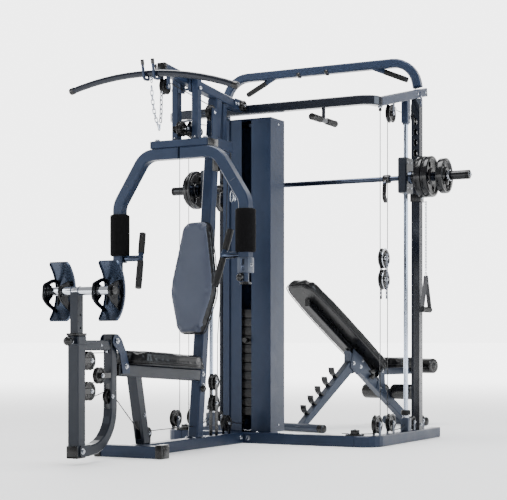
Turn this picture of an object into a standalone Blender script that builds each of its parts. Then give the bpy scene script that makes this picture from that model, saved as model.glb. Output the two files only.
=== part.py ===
"""Multi station home gym: seat station, weight stack, Smith cage and adjustable bench.

Metres, +Z up.  The origin is on the floor, under the crossing of the seat station's centreline and the
front base rail's centreline.  +X runs along the Smith bar, -Y runs out along the seat station.
"""
import math

import bmesh
import bpy
from mathutils import Matrix, Vector

# ---------------------------------------------------------------- driving dimensions
GAP = 0.0003                    # clearance between pieces that touch
TUBE = 0.060                    # main square tube
RAIL = 0.050                    # lighter square tube
EDGE = 0.005                    # rounding of a tube's edges
LEFT_X, RIGHT_X = -0.470, 0.795         # the cage's two side planes
CAGE_X = (LEFT_X + RIGHT_X) / 2
BASE_CORNER = 0.080             # bend radius of the base's front corners
BASE_BACK_Y = 0.955
TOP_Z = 1.862                   # centre height of the top front beam
TOP_CORNER = 0.085
TOP_BACK_Y = 0.755
TOP_RISE = 0.231                # rise of the top side rails for each metre towards the back
BAR_Y, BAR_Z = 0.435, 1.485     # Smith bar
ROD_Y, ROD_R = 0.483, 0.0125    # the rods that its blocks slide on
POST_Y = 0.655                  # slotted rear posts
ARCH_Y, ARCH_Z = 0.670, 2.185   # pull-up arch, centre of its straight top
STACK_X, STACK_Y = 0.0175, 0.110        # weight stack centre
PLATE_H, PLATE_W, PLATE_D = 0.050, 0.230, 0.100
PLATES_LOW, PLATES_LIFTED = 8, 4
STACK_Z = 0.150
PULLEY_R, PULLEY_W, GROOVE = 0.050, 0.022, 0.010
CABLE_R = 0.0025
BLOCK_PULLEY_R = 0.056
BASE_PULLEY_Y, BASE_PULLEY_Z = 0.0665, 0.121
BLOCK_Z = (1.020, 0.905)        # the floating block's two pulleys
LAT_PULLEY = Vector((0, -0.815, 1.866))
TOWER_PULLEY = Vector((0.030, -0.400, 1.790))
SEAT_FRONT_Y = -1.275
LEG_PIVOT = Vector((0, -1.313, 0.570))
PRESS_PIVOT = Vector((0, -1.590, 0.062))
FOOT_BAR_Z = 0.800
FOOT_PLATES = (("left", -0.118), ("right", 0.158))
KNOB_Z = 0.5700
HANGER_PIVOT = Vector((0, -0.600, 1.886))
ARM_Y, ARM_Z = -0.655, 1.545
ARM_PIVOT_X = 0.145
ARM_TUBE = 0.058                # the press arms are a little stouter than the rails
BENCH_PLACE = (-0.120, 1.000, 0.0)
BENCH_TURN = math.radians(-17.3)
BENCH_SLOPE = math.radians(-35.7)       # tilt of the bench's back pad and main tube
BENCH_PIVOT = Vector((0, 0.755, 0.373))
LOWER_ROLLER = Vector((0, 0.873, 0.232))
UPPER_ROLLER = Vector((0, 1.0855, 0.4026))
HANDLE_X, HANDLE_TOP = 0.850, 1.375

BLUE = (0.022, 0.036, 0.070)
BLACK = (0.012, 0.012, 0.014)
CHROME = (0.750, 0.760, 0.780)
IRON = (0.030, 0.030, 0.033)

CUTTERS = bpy.data.collections.new("cutters")
GYM = bpy.data.collections.new("multi_station_home_gym")


# ---------------------------------------------------------------- tools
def clear_scene():
    for obj in list(bpy.data.objects):
        bpy.data.objects.remove(obj, do_unlink=True)
    bpy.context.scene.collection.children.link(GYM)
    bpy.context.scene.collection.children.link(CUTTERS)


def paint(obj, colour, roughness, metallic):
    """Give a piece its own Principled material."""
    mat = bpy.data.materials.new(obj.name)
    mat.use_nodes = True
    shader = mat.node_tree.nodes["Principled BSDF"]
    shader.inputs["Base Color"].default_value = (*colour, 1)
    shader.inputs["Roughness"].default_value = roughness
    shader.inputs["Metallic"].default_value = metallic
    obj.data.materials.clear()
    obj.data.materials.append(mat)
    return obj


def adopt(name, mesh, matrix=None):
    obj = bpy.data.objects.new(name, mesh)
    if matrix is not None:
        obj.matrix_world = matrix
    GYM.objects.link(obj)
    return obj


def bake(obj, name=None):
    """Turn a curve or an object with modifiers into one welded mesh object."""
    depsgraph = bpy.context.evaluated_depsgraph_get()
    mesh = bpy.data.meshes.new_from_object(obj.evaluated_get(depsgraph))
    matrix = obj.matrix_world.copy()
    bm = bmesh.new()
    bm.from_mesh(mesh)
    bm.transform(matrix)
    bmesh.ops.remove_doubles(bm, verts=bm.verts, dist=0.00002)
    bmesh.ops.recalc_face_normals(bm, faces=bm.faces)
    if bm.calc_volume(signed=True) < 0:
        bmesh.ops.reverse_faces(bm, faces=bm.faces)
    bm.to_mesh(mesh)
    bm.free()
    mesh.set_sharp_from_angle(angle=math.radians(35))
    new_name = name or obj.name
    bpy.data.objects.remove(obj, do_unlink=True)
    return adopt(new_name, mesh)


def combine(name, first, others, operation="UNION"):
    """Boolean of several solids, baked into one."""
    for other in others:
        mod = first.modifiers.new(operation.lower(), "BOOLEAN")
        mod.operation = operation
        mod.object = other
        mod.solver = "EXACT"
        CUTTERS.objects.link(other)
        GYM.objects.unlink(other)
        other.hide_render = True
        other.display_type = "WIRE"
    bpy.context.view_layer.update()
    result = bake(first, name)
    for other in others:
        bpy.data.objects.remove(other, do_unlink=True)
    return result


def cut(name, solid, cutters):
    return combine(name, solid, cutters, "DIFFERENCE")


def box(name, low, high, edge=EDGE, segments=2):
    """A box between two corners with rounded edges."""
    low, high = Vector(low), Vector(high)
    bm = bmesh.new()
    bmesh.ops.create_cube(bm, size=1)
    size = high - low
    centre = (high + low) / 2
    bmesh.ops.scale(bm, vec=size, verts=bm.verts)
    bmesh.ops.translate(bm, vec=centre, verts=bm.verts)
    if edge > 0:
        bmesh.ops.bevel(bm, geom=bm.edges, offset=edge, segments=segments, profile=0.5, affect="EDGES")
    mesh = bpy.data.meshes.new(name)
    bm.to_mesh(mesh)
    bm.free()
    return adopt(name, mesh)


def rod(name, start, end, radius, sides=16, radius_end=None):
    """A round bar between two points."""
    start, end = Vector(start), Vector(end)
    axis = end - start
    bm = bmesh.new()
    top = radius if radius_end is None else radius_end
    bmesh.ops.create_cone(bm, cap_ends=True, segments=sides, radius1=radius, radius2=top, depth=axis.length)
    turn = Vector((0, 0, 1)).rotation_difference(axis.normalized()).to_matrix().to_4x4()
    bm.transform(Matrix.Translation((start + end) / 2) @ turn)
    mesh = bpy.data.meshes.new(name)
    bm.to_mesh(mesh)
    bm.free()
    mesh.shade_smooth()
    mesh.set_sharp_from_angle(angle=math.radians(35))
    return adopt(name, mesh)


def wire(name, points, radius, resolution=2):
    """A thin round wire or bent bar along points."""
    data = bpy.data.curves.new(name, "CURVE")
    data.dimensions = "3D"
    data.bevel_depth = radius
    data.bevel_resolution = resolution
    data.use_fill_caps = True
    spline = data.splines.new("POLY")
    spline.points.add(len(points) - 1)
    for target, point in zip(spline.points, points):
        target.co = (*point, 1)
    obj = bpy.data.objects.new(name, data)
    GYM.objects.link(obj)
    bpy.context.view_layer.update()
    return bake(obj)


def fillet(points, radius, steps=5):
    """Round the inner corners of a path in a plane."""
    path = [Vector(points[0])]
    for before, corner, after in zip(points, points[1:], points[2:]):
        corner = Vector(corner)
        back = (Vector(before) - corner).normalized()
        ahead = (Vector(after) - corner).normalized()
        half = back.angle(ahead) / 2
        reach = radius / math.tan(half)
        centre = corner + (back + ahead).normalized() * (radius / math.sin(half))
        first = corner + back * reach - centre
        last = corner + ahead * reach - centre
        whole = first.angle(last)
        for step in range(steps + 1):
            share = step / steps
            blend = first * math.sin((1 - share) * whole) + last * math.sin(share * whole)
            path.append(centre + blend / math.sin(whole))
    path.append(Vector(points[-1]))
    return path


def band(path, width):
    """The outline of a strip of even width along a path in a plane (2D points)."""
    left, right = [], []
    for i, point in enumerate(path):
        before = path[max(i - 1, 0)]
        after = path[min(i + 1, len(path) - 1)]
        into = (point - before).normalized() if i else (after - point).normalized()
        out = (after - point).normalized() if i < len(path) - 1 else into
        normal = Vector((-(into + out).y, (into + out).x)).normalized()
        stretch = 1 / max(normal.dot(Vector((-into.y, into.x))), 0.5)
        left.append(point + normal * stretch * width / 2)
        right.append(point - normal * stretch * width / 2)
    return left + right[::-1]


PLANES = {
    "XY": Matrix(((1, 0, 0, 0), (0, 1, 0, 0), (0, 0, 1, 0), (0, 0, 0, 1))),
    "XZ": Matrix(((1, 0, 0, 0), (0, 0, -1, 0), (0, 1, 0, 0), (0, 0, 0, 1))),
    "YZ": Matrix(((0, 0, 1, 0), (1, 0, 0, 0), (0, 1, 0, 0), (0, 0, 0, 1))),
}


def slab(name, outline, plane, at, thickness, edge=0.0):
    """A flat outline in a plane, thickened evenly to both sides of the level `at`."""
    data = bpy.data.curves.new(name, "CURVE")
    data.dimensions = "2D"
    data.fill_mode = "BOTH"
    data.extrude = thickness / 2 - edge
    data.bevel_depth = edge
    data.bevel_resolution = 0
    data.offset = -edge
    spline = data.splines.new("POLY")
    spline.points.add(len(outline) - 1)
    for target, point in zip(spline.points, outline):
        target.co = (point[0], point[1], 0, 1)
    spline.use_cyclic_u = True
    obj = bpy.data.objects.new(name, data)
    level = -at if plane == "XZ" else at
    obj.matrix_world = PLANES[plane] @ Matrix.Translation((0, 0, level))
    GYM.objects.link(obj)
    bpy.context.view_layer.update()
    return bake(obj)


def bent_tube(name, path, plane, at, width=RAIL, height=RAIL, edge=EDGE):
    """A square tube bent in one plane; width lies in the plane, height across it."""
    flat = [Vector((p[0], p[1])) for p in path]
    return slab(name, band(flat, width), plane, at, height, edge)


def turned(name, profile, centre, axis, steps=18):
    """A turned ring: a closed loop of (radius, height) points spun about an axis."""
    mesh = bpy.data.meshes.new(name)
    bm = bmesh.new()
    verts = [bm.verts.new((radius, 0, height)) for radius, height in profile]
    for a, b in zip(verts, verts[1:] + verts[:1]):
        bm.edges.new((a, b))
    bm.to_mesh(mesh)
    bm.free()
    obj = adopt(name, mesh)
    turn = Vector((0, 0, 1)).rotation_difference(Vector(axis)).to_matrix().to_4x4()
    obj.matrix_world = Matrix.Translation(centre) @ turn
    screw = obj.modifiers.new("screw", "SCREW")
    screw.steps = steps
    screw.render_steps = steps
    screw.use_merge_vertices = True
    screw.merge_threshold = 0.00005
    bpy.context.view_layer.update()
    return bake(obj)


def pulley_profile(radius, width=PULLEY_W, bore=0.0056, hub=0.004):
    """Half section of a grooved pulley with a raised hub and a bore."""
    half = width / 2
    return [(bore, half + hub), (0.012, half + hub), (0.013, half), (radius, half), (radius - GROOVE, 0),
            (radius, -half), (0.013, -half), (0.012, -half - hub), (bore, -half - hub)]


def pulley(name, centre, radius=PULLEY_R):
    """A cable pulley that turns about X."""
    wheel = turned(name, pulley_profile(radius), centre, (1, 0, 0))
    hang([wheel], empty(f"{name}_axis", centre))
    return black(wheel, 0.4)


def cheeks(x, y, z_axle, z_foot, reach=0.0195, depth=0.030):
    """Two bracket cheeks with an axle through them, standing on z_foot or hanging from it."""
    low, high = min(z_axle - 0.014, z_foot), max(z_axle + 0.014, z_foot)
    parts = []
    for side in (-1, 1):
        inner, outer = x + side * (reach - 0.0035), x + side * reach
        lows = (min(inner, outer), y - depth / 2, low)
        highs = (max(inner, outer), y + depth / 2, high)
        parts.append(box("cheek", lows, highs, 0.001, 1))
    parts.append(rod("axle", (x - reach - 0.003, y, z_axle), (x + reach + 0.003, y, z_axle), 0.0045, 10))
    return parts


def empty(name, place, turn_z=0.0, parent=None):
    marker = bpy.data.objects.new(name, None)
    marker.empty_display_size = 0.05
    marker.location = place
    marker.rotation_euler = (0, 0, turn_z)
    GYM.objects.link(marker)
    if parent is not None:
        marker.parent = parent
    bpy.context.view_layer.update()
    return marker


def hang(pieces, pivot, frame=Matrix()):
    """Parent moving pieces, drawn in a frame, to the empty on their joint's axis."""
    for piece in pieces:
        piece.parent = pivot
        piece.matrix_parent_inverse = pivot.matrix_world.inverted() @ frame


def steel(obj):
    return paint(obj, BLUE, 0.35, 0.6)


def black(obj, roughness=0.45):
    return paint(obj, BLACK, roughness, 0.0)


def chrome(obj):
    return paint(obj, CHROME, 0.12, 1.0)


# ---------------------------------------------------------------- base
def build_base():
    half = TUBE / 2
    reach = BASE_CORNER + 0.015
    low = (LEFT_X + reach + GAP, -half, 0)
    high = (RIGHT_X - reach - GAP, half, TUBE)
    front = box("front", low, high)
    spine = box("spine", (-half + 0.0005, -1.130, 0.0005), (half - 0.0005, 0, TUBE - 0.0005))
    foot = box("foot", (-0.190, -1.160, 0), (0.190, -1.100, TUBE))
    steel(combine("base_frame", front, [spine, foot]))
    for side, x, inward in (("left", LEFT_X, 1), ("right", RIGHT_X, -1)):
        path = fillet([(x + inward * reach, 0), (x, 0), (x, BASE_BACK_Y)], BASE_CORNER)
        rail = bent_tube("rail", path, "XY", half, TUBE, TUBE)
        bracket = cheeks(x, BASE_PULLEY_Y, BASE_PULLEY_Z, TUBE - 0.003)
        steel(combine(f"base_{side}_rail", rail, bracket))
        pulley(f"{side}_base_pulley", (x, BASE_PULLEY_Y, BASE_PULLEY_Z))


def tower_bracket():
    """Bracket round the mast's top that carries the press cable's upper pulley."""
    parts = [box("bridge", (-0.056, -0.430, 1.600), (0.056, -0.350, 1.660), 0.003, 1)]
    parts.append(box("post", (-0.056, -0.240, 1.600), (0.056, -0.200, 1.640), 0.003, 1))
    parts.append(box("riser", (-0.020, -0.240, 1.620), (0.020, -0.202, 1.866), 0.003, 1))
    for side in (-1, 1):
        low, high = sorted((side * 0.048, side * 0.056))
        parts.append(box("plate", (low, -0.425, 1.603), (high, -0.205, 1.657), 0.001, 1))
        parts.append(box("plate", (low, -0.425, 1.640), (high, -0.375, 1.812), 0.001, 1))
    axle = (TOWER_PULLEY.y, TOWER_PULLEY.z)
    parts.append(rod("axle", (-0.058, *axle), (0.058, *axle), 0.0045, 10))
    return parts


def build_mast():
    """Leaning main mast, the back pad's board and its two brackets, and the pad."""
    mast = slab("mast", [(-0.541, 0.0603), (-0.479, 0.0603), (-0.2680, 1.8735), (-0.3300, 1.8798)],
                "YZ", 0, TUBE, EDGE)
    parts = []
    for z in (0.72, 1.06):
        y = -0.510 + (z - 0.06) * 0.1160
        parts.append(box("arm", (-0.045, y - 0.070, z - 0.022), (0.045, y - 0.020, z + 0.022), 0.003, 1))
    half_widths = [(0.600, 0.070), (0.640, 0.085), (0.810, 0.138), (0.900, 0.130), (1.160, 0.080),
                   (1.200, 0.060)]
    outline = [(w, z) for z, w in half_widths] + [(-w, z) for z, w in reversed(half_widths)]
    lean = Matrix.Translation((0, -0.478, 0.90)) @ Matrix.Rotation(math.radians(-6.6), 4, "X")
    place = lean @ Matrix.Translation((0, 0, -0.90))
    board = slab("board", [(x * 0.8, (z - 0.9) * 0.88 + 0.9) for x, z in outline], "XZ", -0.0070, 0.012)
    pad = slab("back_pad", outline, "XZ", -0.0455, 0.064, 0.012)
    for obj in (board, pad):
        obj.data.transform(place)
    black(pad, 0.35)
    steel(combine("main_mast", mast, parts + [board] + tower_bracket()))


def build_seat():
    """Seat beam with its strut, pivot ears and pad board, and the pad."""
    beam = slab("beam", [(-0.5072, 0.3585), (-0.5003, 0.4185), (SEAT_FRONT_Y, 0.462), (SEAT_FRONT_Y, 0.402)],
                "YZ", 0, TUBE, EDGE)
    parts = []
    strut = slab("strut", [(-1.055, 0.0603), (-0.995, 0.0603), (-1.075, 0.410), (-1.138, 0.410)],
                 "YZ", 0, TUBE - 0.006, EDGE)
    slot = box("slot", (-0.0130, -1.20, 0.085), (0.0130, -0.90, 0.175), 0)
    parts.append(cut("strut", strut, [slot]))
    path = [(LEG_PIVOT.y, LEG_PIVOT.z), (-1.290, 0.572), (-1.262, 0.520), (-1.225, 0.430)]
    strip = band([Vector(p) for p in fillet(path, 0.03, 3)], 0.050)
    for side in (-1, 1):
        parts.append(slab("ear", strip, "YZ", side * 0.0325, 0.006))
    pin_ends = [(x, LEG_PIVOT.y, LEG_PIVOT.z) for x in (-0.042, 0.042)]
    parts.append(rod("pin", pin_ends[0], pin_ends[1], 0.0070, 12))
    shape = [(-1.195, 0.055), (-1.150, 0.110), (-0.950, 0.155), (-0.700, 0.150), (-0.600, 0.110),
             (-0.570, 0.060)]
    outline = [(x, y) for y, x in shape] + [(-x, y) for y, x in reversed(shape)]
    tilt = Matrix.Translation((0, -0.900, 0.4425)) @ Matrix.Rotation(math.radians(-3.3), 4, "X")
    lift = tilt @ Matrix.Translation((0, 0.900, 0))
    board = slab("board", [(x * 0.86, (y + 0.9) * 0.9 - 0.9) for x, y in outline], "XY", 0.0045, 0.012)
    pad = slab("seat_pad", outline, "XY", 0.0360, 0.050, 0.010)
    for obj in (board, pad):
        obj.data.transform(lift)
    black(pad, 0.35)
    steel(combine("seat_beam", beam, parts + [board]))


# ---------------------------------------------------------------- weight stack
def build_shroud():
    x0, x1, y0, y1 = -0.134, 0.169, 0.0303, 0.200
    wall, lip, panel_y = 0.003, 0.040, 0.0400
    slot0, slot1 = -0.020, 0.042            # the front panels leave a slot for the selector pin
    path = [(slot0, panel_y), (x0 + lip, panel_y), (x0 + lip, y0), (x0, y0), (x0, y1), (x1, y1), (x1, y0),
            (x1 - lip, y0), (x1 - lip, panel_y), (slot1, panel_y)]
    inner = [(slot1, panel_y + wall), (x1 - lip + wall, panel_y + wall), (x1 - lip + wall, y0 + wall),
             (x1 - wall, y0 + wall), (x1 - wall, y1 - wall), (x0 + wall, y1 - wall), (x0 + wall, y0 + wall),
             (x0 + lip - wall, y0 + wall), (x0 + lip - wall, panel_y + wall), (slot0, panel_y + wall)]
    shell = slab("shell", path + inner, "XY", 0.940, 1.760)
    lid = box("lid", (x0, y0, 1.816), (x1, y1, 1.820), 0)
    steel(combine("weight_shroud", shell, [lid]))


def build_stack():
    """Base foot, two guide rods and top yoke in one welded frame; a grooved pile of plates on it."""
    foot = box("foot", (-0.100, 0.0306, 0), (0.135, 0.190, 0.0590), 0.003, 1)
    parts = [box("yoke", (-0.118, 0.085, 1.780), (0.153, 0.135, 1.800), 0.002, 1)]
    rods_x = (STACK_X - 0.085, STACK_X + 0.085)
    for x in rods_x:
        parts.append(rod("rod", (x, STACK_Y, 0.05), (x, STACK_Y, 1.79), ROD_R))
        parts.append(rod("bumper", (x, STACK_Y, 0.05), (x, STACK_Y, STACK_Z - GAP), 0.024))
    chrome(combine("stack_frame", foot, parts))

    def pile(name, first, count, holes):
        right = []
        for i in range(count):
            z = STACK_Z + (first + i) * PLATE_H
            end = z + PLATE_H - (GAP if i == count - 1 else 0)
            right += [(PLATE_W / 2 - 0.004, z + 0.0001), (PLATE_W / 2, z + 0.004),
                      (PLATE_W / 2, end - 0.004), (PLATE_W / 2 - 0.004, end - 0.0001)]
        outline = [(STACK_X + x, z) for x, z in right] + [(STACK_X - x, z) for x, z in reversed(right)]
        block = slab(name + "_block", outline, "XZ", STACK_Y, PLATE_D)
        return cut(name, block, holes)

    span = (STACK_Z - 0.02, STACK_Z + (PLATES_LOW + PLATES_LIFTED) * PLATE_H + 0.02)

    def bores(radius, xs):
        return [rod("bore", (x, STACK_Y, span[0]), (x, STACK_Y, span[1]), radius) for x in xs]

    paint(pile("resting_plates", 0, PLATES_LOW, bores(0.0145, rods_x) + bores(0.0160, (STACK_X,))),
          IRON, 0.5, 0.4)
    pin_z = STACK_Z + (PLATES_LOW + 0.5) * PLATE_H
    pin_hole = rod("pin_hole", (STACK_X, 0.04, pin_z), (STACK_X, 0.098, pin_z), 0.0065, 12)
    lifted = pile("lifted_body", PLATES_LOW, PLATES_LIFTED, bores(0.0145, rods_x) + [pin_hole])
    stem_top = STACK_Z + (PLATES_LOW + PLATES_LIFTED) * PLATE_H
    stem = rod("stem", (STACK_X, STACK_Y, STACK_Z + 0.05), (STACK_X, STACK_Y, stem_top + 0.09), 0.0115)
    head = rod("head", (STACK_X, STACK_Y, stem_top - 0.01), (STACK_X, STACK_Y, stem_top + 0.035), 0.022)
    paint(combine("lifted_plates", lifted, [stem, head]), IRON, 0.5, 0.4)
    shaft = rod("shaft", (STACK_X, 0.020, pin_z), (STACK_X, 0.094, pin_z), 0.0050, 12)
    knob = rod("knob", (STACK_X, 0.005, pin_z), (STACK_X, 0.038, pin_z), 0.0140)
    pin = paint(combine("selector_pin", knob, [shaft]), (0.5, 0.02, 0.02), 0.3, 0.0)
    hang([pin], empty("pin_pivot", (STACK_X, STACK_Y, pin_z)))
    black(rod("stack_cable", (STACK_X, STACK_Y, stem_top + 0.09 + GAP), (STACK_X, STACK_Y, 1.780 - GAP),
              CABLE_R, 8))


# ---------------------------------------------------------------- top frame
def build_top():
    half = RAIL / 2
    path = fillet([(LEFT_X, 0.085), (LEFT_X, 0), (RIGHT_X, 0), (RIGHT_X, 0.085)], TOP_CORNER - 0.010)
    beam = bent_tube("beam", path, "XY", TOP_Z, RAIL, RAIL)
    stub = rod("stub", (0.509, 0, TOP_Z - half + 0.004), (0.509, 0, 1.771), 0.0100, 12)
    grip = rod("grip", (0.509, -0.150, 1.771), (0.509, 0.150, 1.771), 0.0145, 12)
    steel(combine("top_front_beam", beam, [stub, grip]))
    for side, x in (("left", LEFT_X), ("right", RIGHT_X)):
        y0, y1 = 0.0853, TOP_BACK_Y
        rise = (y1 - y0) * TOP_RISE
        low = TOP_Z - half
        outline = [(y0, low), (y1, low + rise), (y1, low + rise + RAIL), (y0, low + RAIL)]
        rail = slab("rail", outline, "YZ", x, RAIL, EDGE)
        rod_top = low + (ROD_Y - y0) * TOP_RISE
        bracket = box("bracket", (x - 0.019, ROD_Y - 0.024, 1.800), (x + 0.019, ROD_Y + 0.024, rod_top + 0.02),
                      0.003, 1)
        hole = rod("hole", (x, ROD_Y, 1.79), (x, ROD_Y, 1.83), ROD_R + 0.0006)
        rail = combine("rail", rail, [bracket])
        steel(cut(f"top_{side}_rail", rail, [hole]))


def rail_under(y):
    """Height of a top side rail's underside."""
    return TOP_Z - RAIL / 2 + (y - 0.0853) * TOP_RISE


def build_arch():
    """Pull-up arch across the top rails with two angled grips."""
    foot_z = rail_under(ARCH_Y) + RAIL + 0.009
    path = fillet([(LEFT_X, foot_z), (LEFT_X + 0.030, ARCH_Z), (RIGHT_X - 0.030, ARCH_Z),
                   (RIGHT_X, foot_z)], 0.150, 7)
    arch = bent_tube("arch", path, "XZ", ARCH_Y, RAIL, RAIL, 0.008)
    grips = []
    for side, root, reach in ((-1, 0.290, 0.225), (1, 0.350, 0.190)):
        start = Vector((CAGE_X + side * root, ARCH_Y, ARCH_Z - 0.012))
        end = start + Vector((side * reach, 0.070, -0.078))
        grips.append(rod("grip", start, end, 0.0150, 12))
    steel(combine("pull_up_arch", arch, grips))


def build_posts():
    for side, x in (("left", LEFT_X), ("right", RIGHT_X)):
        half = RAIL / 2
        top = rail_under(POST_Y - half) - GAP
        post_top = [(POST_Y - half, top), (POST_Y + half, top + RAIL * TOP_RISE)]
        outline = [(POST_Y - half, TUBE + GAP), (POST_Y + half, TUBE + GAP), post_top[1], post_top[0]]
        steel(slab(f"{side}_post", outline, "YZ", x, RAIL, 0.004))
        foot = box("foot", (x - 0.020, ROD_Y - 0.022, TUBE + GAP), (x + 0.020, ROD_Y + 0.022, 0.135), 0.003, 1)
        shaft = rod("shaft", (x, ROD_Y, 0.10), (x, ROD_Y, 1.828), ROD_R)
        chrome(combine(f"{side}_guide_rod", shaft, [foot]))


# ---------------------------------------------------------------- seat station tower
def boom_z(y):
    """Centre height of the rising top boom."""
    return 1.880 - (y + 0.080) * 0.1014


def build_boom():
    """Top boom with the lat bar's cradle, the front pulley's cheeks and the hanger's lugs."""
    y0, y1 = -0.850, -0.0253
    outline = [(y, boom_z(y) + up) for y, up in ((y0, -0.025), (y1, -0.025), (y1, 0.025), (y0, 0.025))]
    boom = slab("boom", outline, "YZ", 0, RAIL, EDGE)
    parts = cheeks(0, LAT_PULLEY.y, LAT_PULLEY.z, 1.940, 0.0215, 0.036)
    strip = band([Vector(p) for p in fillet(LAT_HOOK, 0.014, 3)], 0.012)
    for side in (-1, 1):
        parts.append(slab("prong", strip, "YZ", side * 0.0300, 0.009))
        lug = [(-0.622, 1.868), (-0.578, 1.868), (-0.570, 1.945), (-0.630, 1.945)]
        parts.append(slab("lug", lug, "YZ", side * 0.0320, 0.016))
    parts.append(box("cradle", (-0.036, -0.868, 1.9185), (0.036, -0.838, 1.9435), 0.001, 1))
    boom = combine("boom", boom, parts)
    hole = rod("hole", (-0.1, HANGER_PIVOT.y, HANGER_PIVOT.z), (0.1, HANGER_PIVOT.y, HANGER_PIVOT.z), 0.0082)
    steel(cut("lat_boom", boom, [hole]))
    pulley("lat_pulley", LAT_PULLEY, 0.040)


LAT_BAR_Y, LAT_BAR_Z, LAT_BAR_R = -0.945, 1.9120, 0.0165
LAT_BAR_TILT = 0.052            # the bar rests a little higher on its left end
LAT_HOOK = [(-0.845, 1.931), (-0.912, 1.931), (-0.922, 1.8830), (-0.966, 1.8830), (-0.984, 1.974)]


def build_lat_bar():
    """Gently arched bar with drooping ends and a centre eye, and the slack chain to the cable."""
    half, droop, count = 0.490, 0.078, 14
    points = []
    for i in range(count + 1):
        x = half * (2 * i / count - 1)
        points.append((x, LAT_BAR_Y, LAT_BAR_Z - droop * (x / half) ** 2 - LAT_BAR_TILT * x))
    bar = wire("bar", points, LAT_BAR_R)
    eye = rod("eye", (0, LAT_BAR_Y, LAT_BAR_Z), (0, LAT_BAR_Y, LAT_BAR_Z - 0.035), 0.0060, 10)
    bar = black(combine("lat_bar", bar, [eye]), 0.3)
    hang([bar], empty("lat_bar_pivot", (0, LAT_BAR_Y, LAT_BAR_Z)))
    top_y = LAT_PULLEY.y - 0.0345
    route = [(0, top_y, 1.8400), (0, top_y - 0.002, 1.740), (0, top_y - 0.010, 1.672),
             (0, top_y - 0.026, 1.650), (0, -0.905, 1.668), (0, -0.930, 1.750), (0, -0.944, 1.8735)]
    chain = wire("chain", route, 0.0060)
    groove = 0.0345
    route = [(0, top_y, 1.8300)]
    route += arc_points(0, LAT_PULLEY.y, LAT_PULLEY.z, groove, 180, 80, 6)
    route += arc_points(TOWER_PULLEY.x, TOWER_PULLEY.y, TOWER_PULLEY.z, 0.0365, 80, 0, 6)
    route.append((TOWER_PULLEY.x, TOWER_PULLEY.y + 0.0365, 1.6605))
    cable = wire("cable", route, CABLE_R, 1)
    chrome(combine("lat_cable", chain, [cable]))


def arc_points(x, y, z, radius, start, end, steps):
    """Points on a circle in a plane across X; the angle is measured from +Y towards +Z."""
    points = []
    for i in range(steps + 1):
        angle = math.radians(start + (end - start) * i / steps)
        points.append((x, y + radius * math.cos(angle), z + radius * math.sin(angle)))
    return points


def build_hanger():
    """Press hanger, its two swinging arms, foam rollers and grips."""
    pivot = empty("hanger_pivot", HANGER_PIVOT)
    posts = []
    for side in (-1, 1):
        posts.append(box("post", (side * 0.060 - 0.018, -0.622, 1.590), (side * 0.060 + 0.018, -0.578, 1.960),
                         0.003, 1))
    cross = box("cross", (-0.172, -0.680, 1.5755), (0.172, -0.575, 1.6155), 0.004, 1)
    bolts = []
    for side in (-1, 1):
        bolts.append(rod("bolt", (side * ARM_PIVOT_X, ARM_Y, 1.600), (side * ARM_PIVOT_X, ARM_Y, 1.627), 0.009, 10))
    axle = rod("axle", (-0.084, HANGER_PIVOT.y, HANGER_PIVOT.z), (0.084, HANGER_PIVOT.y, HANGER_PIVOT.z), 0.0070)
    hanger = steel(combine("press_hanger", cross, posts + bolts + [axle]))
    hang([hanger], pivot)
    for side, name in ((-1, "left"), (1, "right")):
        path = fillet([(side * 0.004, ARM_Z), (side * 0.215, ARM_Z), (side * 0.380, 1.290),
                       (side * 0.380, 0.985)], 0.105, 6)
        arm = bent_tube("arm", path, "XZ", ARM_Y, ARM_TUBE, ARM_TUBE)
        core = rod("core", (side * 0.380, ARM_Y, 1.000), (side * 0.380, ARM_Y, 0.870), 0.0170)
        foot = rod("foot", (side * 0.392, ARM_Y, 1.010), (side * 0.240, ARM_Y, 1.010), 0.0140, 12)
        grip = rod("grip", (side * 0.232, ARM_Y - 0.050, 0.850), (side * 0.2665, ARM_Y + 0.047, 1.140), 0.0150)
        steel(combine(f"{name}_press_arm", arm, [core, foot, grip]))
        foam = rod("foam_block", (side * 0.380, ARM_Y, 1.026), (side * 0.380, ARM_Y, 1.238), 0.0520, 20)
        bore = ARM_TUBE / 2 + 0.0005
        hole = box("hole", (side * 0.380 - bore, ARM_Y - bore, 1.016),
                   (side * 0.380 + bore, ARM_Y + bore, 1.248), 0)
        black(cut(f"{name}_foam_roller", foam, [hole]), 0.85)
        arm_pivot = empty(f"{name}_arm_pivot", (side * ARM_PIVOT_X, ARM_Y, ARM_Z))
        hang([bpy.data.objects[f"{name}_press_arm"], bpy.data.objects[f"{name}_foam_roller"]], arm_pivot)


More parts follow.
